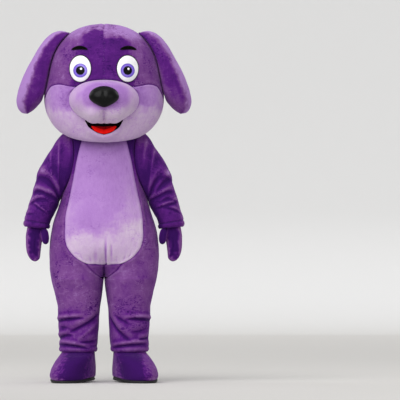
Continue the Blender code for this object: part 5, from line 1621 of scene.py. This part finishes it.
def make_eyes():
    """Each eye: a domed white, its outline, a printed iris, a pupil and a printed spot of light."""
    look = bpy.context.scene.costume_face
    white = moulded("moulded_plastic_white", linear("#F4F4F6"), 0.28, 0.4)
    black = moulded("vinyl_black_gloss", linear("#020203"), 0.4, specular=0.1)
    violet = printed_vinyl("printed_vinyl_violet")
    for side in SIDES:
        on_white, on_iris, on_pupil = (partial(white_y, side, layers) for layers in range(3))
        place, half = (side * EYE_X, EYE_Z), (EYE_HALF_WIDTH, EYE_HALF_HEIGHT)
        name = side_name("moulded_eye", side)
        eye = boss(name, white, place, half, face_y, EYE_DOME, EYE_EDGE, rings=20)
        dress(eye, "eye_white", side_name("eye_white", side))
        eye_outline(side)
        place, half = (side * EYE_X, EYE_Z - IRIS_DROP), (IRIS_RADIUS, IRIS_RADIUS)
        name = side_name("printed_iris", side)
        iris = boss(name, violet, place, half, on_white, 0.0, INSERT_THICK, rings=16)
        dress(iris, "iris_violet", side_name("iris", side))
        half = PUPIL_RADIUS, PUPIL_RADIUS
        pupil = boss(side_name("pupil_disc", side), black, place, half, on_iris, 0.0, INSERT_THICK)
        dress(pupil, "felt_black", side_name("pupil", side))
        place, half = (place[0] + 0.004, place[1] + 0.009), (look.glint, look.glint)
        glint = boss(side_name("printed_glint", side), white, place, half, on_pupil, 0.0, 0.0006, steps=40)
        dress(glint, "eye_white")


def make_brows():
    half = BROW_HALF_WIDTH, BROW_HALF_HEIGHT
    for side in SIDES:
        name, place = side_name("felt_brow", side), (side * BROW_X, BROW_Z)
        brow = boss(name, black_felt(), place, half, face_y, 0.004, 0.0025, rings=10, bow=BROW_BOW)
        dress(brow, "felt_black", side_name("brow", side))


def make_nose():
    """The moulded nose, glossy, domed and narrower below."""
    look = bpy.context.scene.costume_face
    black = moulded("moulded_plastic_black", linear("#040405"), look.nose_roughness, 0.04, 0.0006, 0.15)
    place, half = (0.0, NOSE_Z), (NOSE_HALF_WIDTH, NOSE_HALF_HEIGHT)
    nose = boss("moulded_nose", black, place, half, face_y, NOSE_DOME, 0.006, 0.4, 0.45, 28, 96)
    dress(nose, "nose_black", "nose")


# Mittens and boots


MITTEN_WALL, BOOT_WALL = 0.0025, 0.004
FINGER_CREASES = ((-0.38, 0.7), (0.05, 0.705), (0.46, 0.71))  # across the palm and height


def make_mittens():
    rows = np.linspace(0, len(MITTEN["z"]) - 1.0, 76)[:, None]
    height, inner, outer, thick = (along_rows(MITTEN, name, rows) for name in MITTEN)
    middle, half = (inner + outer) / 2, (outer - inner) / 2
    turn = np.linspace(0, np.pi, 50)
    swing, lean = np.cos(turn), np.sin(turn)
    z = height + 0 * turn
    seams = ("first_column", "last_column")
    for stem, face in (("mitten_back", -1), ("mitten_palm", 1)):
        for side in SIDES:
            spots = points(side * (middle + half * swing), MITTEN_Y + face * thick * lean**0.9, z)
            outward = unit(points(side * swing / half, face * lean / thick, 0 * z))
            outward = unit(outward + points(0, 0, -ease(2.2 - rows, 0, 2.2) ** 2))
            relief = cloth_lumps(spots, 0.45) * ease(rows, 0.3, 2.0)
            if face < 0:
                line = 0.1 * ease(z, 0.7, 0.8) - 0.2
                relief = relief - 0.003 * bump_at(swing, line, 0.14) * bump_at(z, 0.745, 0.045)
                # Painted sheen: paler at the mitten's edges and towards its tip
                rim = np.maximum(np.abs(swing), 1 - rows / 5) + 0.22 * lumps(spots, 0.02, 63)
                cloth, nap = dark_plush(), 0.28 + 0.9 * ease(rim, 0.32, 0.88)
            else:
                for finger, low in FINGER_CREASES:
                    relief = relief - 0.0026 * bump_at(swing, finger, 0.075) * bump_at(z, low, 0.026)
                cloth, nap = lilac_plush(), 0.7
            surface, rests = (spots, outward, relief), [side_name("plush_sleeve", side)]
            cloth_panel(stem, side, cloth, surface, seams, nap, MITTEN_WALL, "hung", rests, puff=0.3)


def clear_of_mitten(spots, row):
    """Points of the thumb pushed out to the mitten's surface, and clear of it beyond the root."""
    z = spots[..., 2]
    inner, outer, thick = (smooth(z, MITTEN["z"], MITTEN[c]) for c in ("inner", "outer", "thick"))
    middle, half = (inner + outer) / 2, (outer - inner) / 2
    x, y = spots[..., 0] - middle, spots[..., 1] - MITTEN_Y
    reach = np.hypot(x / half, y / thick)
    least = np.where(row < 0.2, 1.0, np.maximum(reach, 1.03))
    return points(middle + x * least / reach, MITTEN_Y + y * least / reach, z)


def make_thumbs():
    rows, turns = np.linspace(0, len(THUMB["z"]) - 1.0, 44), turns_round(44)
    middle, ring, radius = tube(THUMB, rows, turns)
    # Painted sheen: paler at the thumb's sides
    values = {"nap": 0.28 + 0.6 * ease(np.abs(np.cos(turns)), 0.5, 1.0), "ridge": 0.0}
    for side in SIDES:
        layers = []
        for inset in (0.0, MITTEN_WALL):
            layer = middle[:, None] + ring * np.maximum(radius[..., None] - inset, 1e-4)
            layer[-1, :, 2] += inset
            layers.append(clear_of_mitten(layer, rows[:, None]) * (side, 1, 1))
        piece = shell(side_name("plush_thumb", side), *layers, dark_plush(), True, values)
        dress(piece, "plush_purple", side_name("thumb", side))
        rests = [side_name("plush_mitten_back", side)]
        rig.sheet(piece, held="hung", rests_on=rests, **cut_size(layers[0], True))


def side_lift(row, turn):
    """How far the boot's lower edge curls up from the floor at its two sides."""
    return SIDE_LIFT * np.abs(np.cos(turn)) ** 5 * ease(1.6 - row, 0, 1.6)


def boot_ring(side, row, turn, grown=0.0):
    """The boot's outside: turn 0 is the outer side, and it goes round by the toe."""
    value = {name: along_rows(BOOT, name, row) for name in BOOT}
    lean = np.sin(turn)
    depth = np.where(lean > 0, value["front"], value["back"]) + grown
    y = -depth * signed_power(lean, LEG_ROUND)
    x = value["middle"] + (value["half_width"] + grown) * np.cos(turn)
    x = x - value["toe_out"] * TOE_OUT_SLOPE * np.minimum(y, 0.05)
    return points(side * x, y, value["z"] + side_lift(row, turn))


TOE_SEAMS = (math.radians(38), math.pi - math.radians(38) * 0.8)
TOE_RADIUS = 0.15


def boot_nap_and_sheen(row, turn, x, speck):
    """Deep in the middle of the toe, with pale sides and a pale lower edge painted as sheen, all speckled."""
    middle, half = (x.max(1) + x.min(1))[:, None] / 2, (x.max(1) - x.min(1))[:, None] / 2
    aside = np.abs((x - middle) / half + 0.06) + 0.6 * speck
    # Painted sheen: paler towards the sides and the lower edge
    nap = 0.52 - 0.85 * ease(0.88 - aside, 0, 0.62) * ease(np.sin(turn), -0.2, 0.3) - 0.1 * ease(row, 3, 5)
    return nap + 0.2 * ease(1.0 - row, 0, 0.8) + 0.35 * np.maximum(speck, 0)


def make_boots():
    rows = np.concatenate([np.linspace(0, 6, 64), np.linspace(6.1, len(BOOT["z"]) - 1.0, 12)])[:, None]
    row, turn = np.broadcast_arrays(rows, turns_round(144, 0.5))
    flat = (row == 0) | (row == rows.max())
    body = ease(row, 0.0, 0.5) * ease(6.4 - row, 0, 1.0)
    for side in SIDES:
        base = partial(boot_ring, side)
        spots = base(row, turn)
        outward = side * normals(base, np.clip(row, 0.05, rows.max() - 0.05), turn, 0.04, 0.02)
        outward = np.where(flat[..., None], unit(outward * (1, 1, 0)), outward)
        relief = cloth_lumps(spots, 0.55) * body
        for line in TOE_SEAMS:
            seam = bump_at((turn - line) * TOE_RADIUS, 0, 0.005)
            relief = relief - 0.002 * seam * body * ease(5.6 - row, 0, 0.5)
        relief = relief + 0.0015 * bump_at(row, 0.35, 0.25) - 0.0015 * bump_at(row, 0.0, 0.12)
        speck = 0.22 * lumps(spots, 0.05, 61) + 0.2 * lumps(spots, 0.013, 62) + 0.3 * lumps(spots, 0.006, 64)
        nap = boot_nap_and_sheen(row, turn, side * spots[..., 0], speck)
        surface, rests = (spots, outward, relief), [side_name("rubber_sole", side)]
        cloth_panel("boot", side, purple_plush(), surface, (), nap, BOOT_WALL, "stretched", rests, True)
        make_sole(side)


SOLE_RINGS = ((0.0, 0.004), (0.0012, 0.0012), (0.004, 0.0), (0.01, 0.0), (0.0128, 0.001), (0.014, 0.0036))


def sole_ring(side, turns, height, inset):
    """A line round the sole, at a height above its underside and drawn in from its edge."""
    ring = boot_ring(side, np.zeros(len(turns)), turns, SOLE_EDGE - inset)
    ring[..., 2] = height + side_lift(0.0, turns)
    return ring


def make_sole(side):
    """The die-cut sole, with a rounded edge."""
    rings = [sole_ring(side, turns_round(144), height, inset) for height, inset in SOLE_RINGS]
    piece = solid(side_name("rubber_sole", side), np.array(rings), sheet_rubber("pebbled_rubber_black"))
    dress(piece, "sole_black", side_name("sole", side))


# Stitches, made by Geometry Nodes


def stitch_tree():
    """Lays stitches along lines: named inputs give their spacing, length and thickness."""
    tree = bpy.data.node_groups.new("stitch_row", "GeometryNodeTree")
    kinds = {"Geometry": "Geometry", **dict.fromkeys(("Spacing", "Length", "Thickness"), "Float")}
    for name, kind in (kinds | {"Thread": "Material"}).items():
        tree.interface.new_socket(name, in_out="INPUT", socket_type=f"NodeSocket{kind}")
    tree.interface.new_socket("Geometry", in_out="OUTPUT", socket_type="NodeSocketGeometry")
    given = node(tree, "NodeGroupInput").node.outputs
    line = node(tree, "GeometryNodeMeshToCurve", {"Mesh": given["Geometry"]})
    along = {"Curve": line, "Length": given["Spacing"]}
    spots = node(tree, "GeometryNodeCurveToPoints", along, mode="LENGTH").node.outputs
    size = {"X": given["Thickness"], "Y": given["Thickness"], "Z": given["Length"]}
    stitch = {
        "Points": spots["Points"],
        "Instance": node(tree, "GeometryNodeMeshIcoSphere", {"Radius": 0.5, "Subdivisions": 1}),
        "Rotation": spots["Rotation"],
        "Scale": node(tree, "ShaderNodeCombineXYZ", size),
    }
    placed = node(tree, "GeometryNodeInstanceOnPoints", stitch)
    real = node(tree, "GeometryNodeRealizeInstances", {"Geometry": placed})
    dyed = node(tree, "GeometryNodeSetMaterial", {"Geometry": real, "Material": given["Thread"]})
    node(tree, "NodeGroupOutput", {"Geometry": dyed})
    return tree


@made_once
def thread(tree, colour):
    """Twisted polyester sewing thread: a little glossier than the pile that it sinks into."""
    place = node(tree, "ShaderNodeTexCoord", give="Object")
    twisted = {"Vector": place, "Scale": THREAD_TWIST, "Distortion": 2}
    twist = node(tree, "ShaderNodeTexWave", twisted, give="Fac")
    shades = (0.0, tuple(0.7 * c for c in colour)), (1.0, colour)
    colour = node(tree, "ShaderNodeValToRGB", {"Fac": twist}, stops=shades)
    return node(tree, "ShaderNodeBsdfPrincipled", {"Base Color": colour, "Roughness": 0.5})


def stitched(name, lines, tree, material, slot):
    """Turns lines of points into rows of stitches. A line is its points and whether it is closed."""
    look = bpy.context.scene.costume_stitches
    edges, start = [], 0
    for line, closed in lines:
        numbers = range(start, start + len(line))
        edges += zip(numbers, numbers[1:])
        edges += [(numbers[-1], start)] if closed else []
        start += len(line)
    mesh = bpy.data.meshes.new(name + "_lines")
    spots = np.concatenate([line for line, _ in lines]) - (0, 0, HOLD_HEIGHT)
    mesh.from_pydata(spots, edges, [])
    holder = add_object(name + "_lines", mesh)
    modifier = holder.modifiers.new("stitches", "NODES")
    modifier.node_group = tree
    wanted = {"Spacing": look.spacing, "Length": look.length, "Thickness": look.thickness, "Thread": material}
    for item in tree.interface.items_tree:
        if item.name in wanted:
            modifier[item.identifier] = wanted[item.name]
    graph = bpy.context.evaluated_depsgraph_get()
    made = bpy.data.meshes.new_from_object(holder.evaluated_get(graph))
    made.name = name
    bpy.data.objects.remove(holder)
    dress(add_object(name, made), slot)


def hem_line(side, face):
    """The line of stitches round the front or back of a trouser leg."""
    t = np.linspace(0.02, 0.98, 90)
    spots, outward, relief = suit_surface(side, face, t, np.full(90, HEM_Z + HEM_STITCHES))
    return spots + outward * (relief - 0.0012)[..., None]


def cuff_line(side):
    """The line of stitches in the cuff's groove."""
    base, turn = partial(sleeve_ring, side), turns_round(120)
    ring = np.full(120, CUFF_RING)
    outward = -side * normals(base, ring, turn, 0.02, 0.02)
    spots = base(ring, turn)
    relief = sleeve_creases(side, ring, turn) + cloth_lumps(spots) - CUFF_GROOVE + 0.0006
    return spots + outward * relief[..., None]


def brow_line(side):
    """The line of stitches just inside the brow's edge."""
    turn = turns_round(60)
    x = side * BROW_X + (BROW_HALF_WIDTH - 0.003) * np.cos(turn)
    z = BROW_Z + (BROW_HALF_HEIGHT - 0.0022) * np.sin(turn) - BROW_BOW * np.cos(turn) ** 2
    return points(x, face_y(x, z) - 0.0052, z)


def make_stitches():
    """Top-stitching on the hems and cuffs, round the brows, and on the soles' edges."""
    purple = thread("polyester_thread_purple", linear("#6A3C92"))
    black = thread("polyester_thread_black", linear("#1A161C"))
    tree, lines, edges = stitch_tree(), [], []
    for side in SIDES:
        lines += [(hem_line(side, face), False) for face in (-1, 1)]
        lines.append((cuff_line(side), True))
        edges.append((brow_line(side), True))
        edges.append((sole_ring(side, turns_round(200), 0.00868, 0.0004), True))
    stitched("hem_stitches", lines, tree, purple, "plush_purple")
    stitched("edge_stitches", edges, tree, black, "felt_black")


# The stage


# How the paper sweeps up from the floor to the wall
SWEEP_CURVE, SWEEP_DEPTH, SWEEP_WIDTH, SWEEP_HEIGHT = 0.9, 9.0, 16.0, 7.0
SUN_WAY = (0.42, 0.72, -0.62)
LAMP_AIM = (0.0, 0.0, -0.35)


def make_sweep():
    """The seamless paper under and behind the costume."""
    wall_y, floor_z = bpy.context.scene.costume_stage.wall_distance, -HOLD_HEIGHT
    profile = [(-SWEEP_DEPTH, floor_z)]
    for turn in np.linspace(0, np.pi / 2, 24):
        y = wall_y - SWEEP_CURVE + SWEEP_CURVE * math.sin(turn)
        profile.append((y, floor_z + SWEEP_CURVE * (1 - math.cos(turn))))
    profile.append((wall_y, floor_z + SWEEP_HEIGHT))
    spots = [(x, y, z) for y, z in profile for x in (-SWEEP_WIDTH / 2, SWEEP_WIDTH / 2)]
    faces = [(2 * i, 2 * i + 1, 2 * i + 3, 2 * i + 2) for i in range(len(profile) - 1)]
    mesh = bpy.data.meshes.new("paper_sweep")
    mesh.from_pydata(spots, [], faces)
    mesh.shade_smooth()
    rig.stage(add_object("paper_sweep", mesh))
    mesh.materials.append(backdrop_paper("seamless_paper_pale"))


def add_light(name, kind, power, way, place=(0, 0, 0)):
    light = bpy.data.lights.new(name, kind)
    light.energy = power
    lamp = add_object(name, light)
    lamp.location, lamp.rotation_euler = place, aim_at(way)
    return light


def make_lights():
    look = bpy.context.scene.costume_stage
    for name, place, size, power in (
        ("fill_light", (2.8, -4.0, 1.0), 2.8, look.fill),
        ("top_light", (0.0, -1.2, 3.2), 2.4, look.top),
        ("back_light_left", (-2.6, 1.2, 1.6), 1.6, look.rim),
        ("back_light_right", (2.6, 1.2, 1.6), 1.6, look.rim),
    ):
        add_light(name, "AREA", power, np.array(LAMP_AIM) - np.array(place), place).size = size
    add_light("key_light", "SUN", look.key, SUN_WAY).angle = look.key_spread
    world = bpy.data.worlds.new("soft_room")
    world.use_nodes = True
    background = world.node_tree.nodes["Background"].inputs
    background["Color"].default_value = (1, 1, 1, 1)
    background["Strength"].default_value = look.room
    bpy.context.scene.world = world
    bpy.context.scene.view_settings.view_transform = "Standard"


def aim_at(direction):
    """The turn that points a lamp or camera along a direction, with its top up."""
    return Vector(direction).to_track_quat("-Z", "Y").to_euler()


@made_once
def backdrop_paper(tree):
    """Seamless background paper: matt, pale grey, with faint clouding, and clear from behind."""
    look = bpy.context.scene.costume_stage
    place = node(tree, "ShaderNodeTexCoord", give="Object")
    depth = node(tree, "ShaderNodeSeparateXYZ", {"Vector": place}, give="Y")
    reach = {"Value": depth, "From Min": look.wall_distance - 1.2, "From Max": look.wall_distance - 0.2}
    far = node(tree, "ShaderNodeMapRange", reach, interpolation_type="SMOOTHSTEP")
    cloud = node(tree, "ShaderNodeTexNoise", {"Vector": place, "Scale": PAPER_CLOUD, "Detail": 2})
    value = total(tree, (far, 0.9, 0.0), (cloud, 0.1, 0.0))
    shades = (0.0, look.floor), (1.0, look.wall)
    colour = node(tree, "ShaderNodeValToRGB", {"Fac": value}, stops=shades)
    paper = node(tree, "ShaderNodeBsdfPrincipled", {"Base Color": colour, "Roughness": 0.9})
    behind = node(tree, "ShaderNodeNewGeometry", give="Backfacing")
    clear = node(tree, "ShaderNodeBsdfTransparent")
    return node(tree, "ShaderNodeMixShader", {0: behind, 1: paper, 2: clear})


def make_camera():
    """Level at waist height, square in front, and turned so that the costume stands left of the middle."""
    look = bpy.context.scene.costume_stage
    data = bpy.data.cameras.new("camera")
    data.sensor_width = 36.0
    half_view = look.metres_across / 2 / look.camera_distance
    data.lens = data.sensor_width / 2 / half_view
    camera = add_object("camera", data)
    camera.location = (0.0, -look.camera_distance, look.camera_height - HOLD_HEIGHT)
    turn = math.atan(look.aside / look.camera_distance)
    camera.rotation_euler = aim_at((math.sin(turn), math.cos(turn), 0.0))
    bpy.context.scene.camera = camera


# The add-on


Length = partial(FloatProperty, unit="LENGTH")
Power = partial(FloatProperty, unit="POWER")
Factor = partial(FloatProperty, subtype="FACTOR")
Angle = partial(FloatProperty, subtype="ANGLE")
Colour = partial(FloatVectorProperty, subtype="COLOR")


class CostumeCloth(bpy.types.PropertyGroup):
    """Sizes of the cloth"""

    wall: Length(name="Cloth", description="Thickness of the suit's plush", default=0.003)
    foam: Length(name="Foam", description="Thickness of the head's wall", default=0.008)
    swell: Length(name="Swell", description="Height of the cloth's soft lumps", default=0.0028)
    crease: Factor(name="Creases", description="Depth of the creases", default=1.35)
    seam: Length(name="Seams", description="Depth of the seams", default=0.0026)
    step: Length(name="Row step", description="Height of a row of faces", default=0.0046)
    columns: IntProperty(name="Columns", description="Columns of a suit panel", default=60, min=8)


class CostumeColours(bpy.types.PropertyGroup):
    """Colours of the plush"""

    deep_purple: Colour(name="Deep purple", description="Pile standing up", default=linear("#38105A"))
    purple: Colour(name="Purple", description="Pile at rest", default=linear("#591F78"))
    brushed_purple: Colour(name="Brushed purple", description="Pile lying down", default=linear("#784889"))
    pale_purple: Colour(name="Pale purple", description="Pile towards the light", default=linear("#A47CBC"))
    deep_lilac: Colour(name="Deep lilac", description="Pile standing up", default=linear("#8F60AC"))
    lilac: Colour(name="Lilac", description="Pile at rest", default=linear("#AD82C5"))
    brushed_lilac: Colour(name="Brushed lilac", description="Pile lying down", default=linear("#BC9ACA"))
    pale_lilac: Colour(name="Pale lilac", description="Worn pile", default=linear("#CCB7D0"))


class CostumeFace(bpy.types.PropertyGroup):
    """Sizes and finish of the face"""

    eye_outline: Length(name="Eye outline", description="Width of the eye's black edge", default=0.0045)
    glint: Length(name="Glint", description="Radius of the printed spot of light", default=0.0062)
    nose_roughness: Factor(name="Nose", description="Roughness of the nose", default=0.34)


class CostumeStitches(bpy.types.PropertyGroup):
    """Sizes of the stitches"""

    spacing: Length(name="Spacing", description="From stitch to stitch", default=0.0085)
    length: Length(name="Length", description="Length of a stitch", default=0.0055)
    thickness: Length(name="Thickness", description="Thickness of the thread", default=0.0013)


class CostumeStage(bpy.types.PropertyGroup):
    """The floor, the lights and the camera"""

    floor: Colour(name="Floor", description="Colour of the floor", default=linear("#CECCC9"))
    wall: Colour(name="Wall", description="Colour of the wall", default=linear("#D8D8D8"))
    wall_distance: Length(name="Wall", description="Distance of the wall behind", default=11.2)
    key: FloatProperty(name="Key light", description="Strength of the light from the left", default=2.3)
    key_spread: Angle(name="Key spread", description="Softness of that light", default=1.1)
    fill: Power(name="Fill light", description="Power of the light from the right", default=22.0)
    top: Power(name="Top light", description="Power of the light from above", default=16.0)
    rim: Power(name="Back lights", description="Power of each light from behind", default=16.0)
    room: FloatProperty(name="Room light", description="Strength of the light from all round", default=0.45)
    camera_distance: Length(name="Distance", description="From the camera to the costume", default=30.0)
    camera_height: Length(name="Height", description="Of the camera above the floor", default=0.991)
    metres_across: Length(name="View", description="Width of the view at the costume", default=2.179)
    aside: Length(name="Aside", description="How far right of the costume it aims", default=0.523)


class COSTUME_OT_suit(bpy.types.Operator):
    """Make the suit's panels and the belly"""

    bl_idname = "costume.suit"
    bl_label = "Suit"

    def execute(self, context):
        make_suit()
        make_belly()
        return {"FINISHED"}


class COSTUME_OT_sleeves(bpy.types.Operator):
    """Make the two sleeves"""

    bl_idname = "costume.sleeves"
    bl_label = "Sleeves"

    def execute(self, context):
        make_sleeves()
        return {"FINISHED"}


class COSTUME_OT_tail(bpy.types.Operator):
    """Make the stuffed tail"""

    bl_idname = "costume.tail"
    bl_label = "Tail"

    def execute(self, context):
        make_tail()
        return {"FINISHED"}


class COSTUME_OT_head(bpy.types.Operator):
    """Make the head's panels"""

    bl_idname = "costume.head"
    bl_label = "Head"

    def execute(self, context):
        make_skull()
        make_cheeks()
        make_muzzle()
        return {"FINISHED"}


class COSTUME_OT_ears(bpy.types.Operator):
    """Make the two padded ears"""

    bl_idname = "costume.ears"
    bl_label = "Ears"

    def execute(self, context):
        make_ears()
        return {"FINISHED"}


class COSTUME_OT_face(bpy.types.Operator):
    """Make the eyes, brows, nose and mouth"""

    bl_idname = "costume.face"
    bl_label = "Face"

    def execute(self, context):
        make_eyes()
        make_brows()
        make_nose()
        make_lining()
        make_tongue()
        return {"FINISHED"}


class COSTUME_OT_mittens(bpy.types.Operator):
    """Make the mittens and their thumbs"""

    bl_idname = "costume.mittens"
    bl_label = "Mittens"

    def execute(self, context):
        make_mittens()
        make_thumbs()
        return {"FINISHED"}


class COSTUME_OT_boots(bpy.types.Operator):
    """Make the boots and their soles"""

    bl_idname = "costume.boots"
    bl_label = "Boots"

    def execute(self, context):
        make_boots()
        return {"FINISHED"}


class COSTUME_OT_stitches(bpy.types.Operator):
    """Make the rows of stitches"""

    bl_idname = "costume.stitches"
    bl_label = "Stitches"

    def execute(self, context):
        make_stitches()
        return {"FINISHED"}


class COSTUME_OT_stage(bpy.types.Operator):
    """Make the floor, the lights and the camera"""

    bl_idname = "costume.stage"
    bl_label = "Stage"

    def execute(self, context):
        make_sweep()
        make_lights()
        make_camera()
        return {"FINISHED"}


OPERATORS = (
    COSTUME_OT_suit,
    COSTUME_OT_sleeves,
    COSTUME_OT_tail,
    COSTUME_OT_head,
    COSTUME_OT_ears,
    COSTUME_OT_face,
    COSTUME_OT_mittens,
    COSTUME_OT_boots,
    COSTUME_OT_stitches,
    COSTUME_OT_stage,
)
SETTINGS = {
    "costume_cloth": CostumeCloth,
    "costume_colours": CostumeColours,
    "costume_face": CostumeFace,
    "costume_stitches": CostumeStitches,
    "costume_stage": CostumeStage,
}


class COSTUME_PT_panel(bpy.types.Panel):
    """Lists the costume's settings and pieces"""

    bl_label = "Dog Costume"
    bl_idname = "COSTUME_PT_panel"
    bl_space_type = "VIEW_3D"
    bl_region_type = "UI"
    bl_category = "Costume"

    def draw(self, context):
        for name, group in SETTINGS.items():
            box = self.layout.box()
            box.label(text=group.__doc__)
            for key in group.__annotations__:
                box.prop(getattr(context.scene, name), key)
        for operator in OPERATORS:
            self.layout.operator(operator.bl_idname)


def register():
    for group in (*SETTINGS.values(), *OPERATORS, COSTUME_PT_panel):
        bpy.utils.register_class(group)
    for name, group in SETTINGS.items():
        setattr(bpy.types.Scene, name, PointerProperty(type=group))


def unregister():
    for name in SETTINGS:
        delattr(bpy.types.Scene, name)
    for group in reversed((*SETTINGS.values(), *OPERATORS, COSTUME_PT_panel)):
        bpy.utils.unregister_class(group)


def main():
    register()
    bpy.ops.costume.stage()
    bpy.ops.costume.suit()
    bpy.ops.costume.sleeves()
    bpy.ops.costume.tail()
    bpy.ops.costume.head()
    bpy.ops.costume.ears()
    bpy.ops.costume.face()
    bpy.ops.costume.mittens()
    bpy.ops.costume.boots()
    bpy.ops.costume.stitches()
    boxes = {"cad": CAD_BOX, "scene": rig.bounds()}
    with open("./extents.json", "w") as file:
        json.dump({name: [list(corner) for corner in box] for name, box in boxes.items()}, file)


if __name__ == "__main__":
    main()
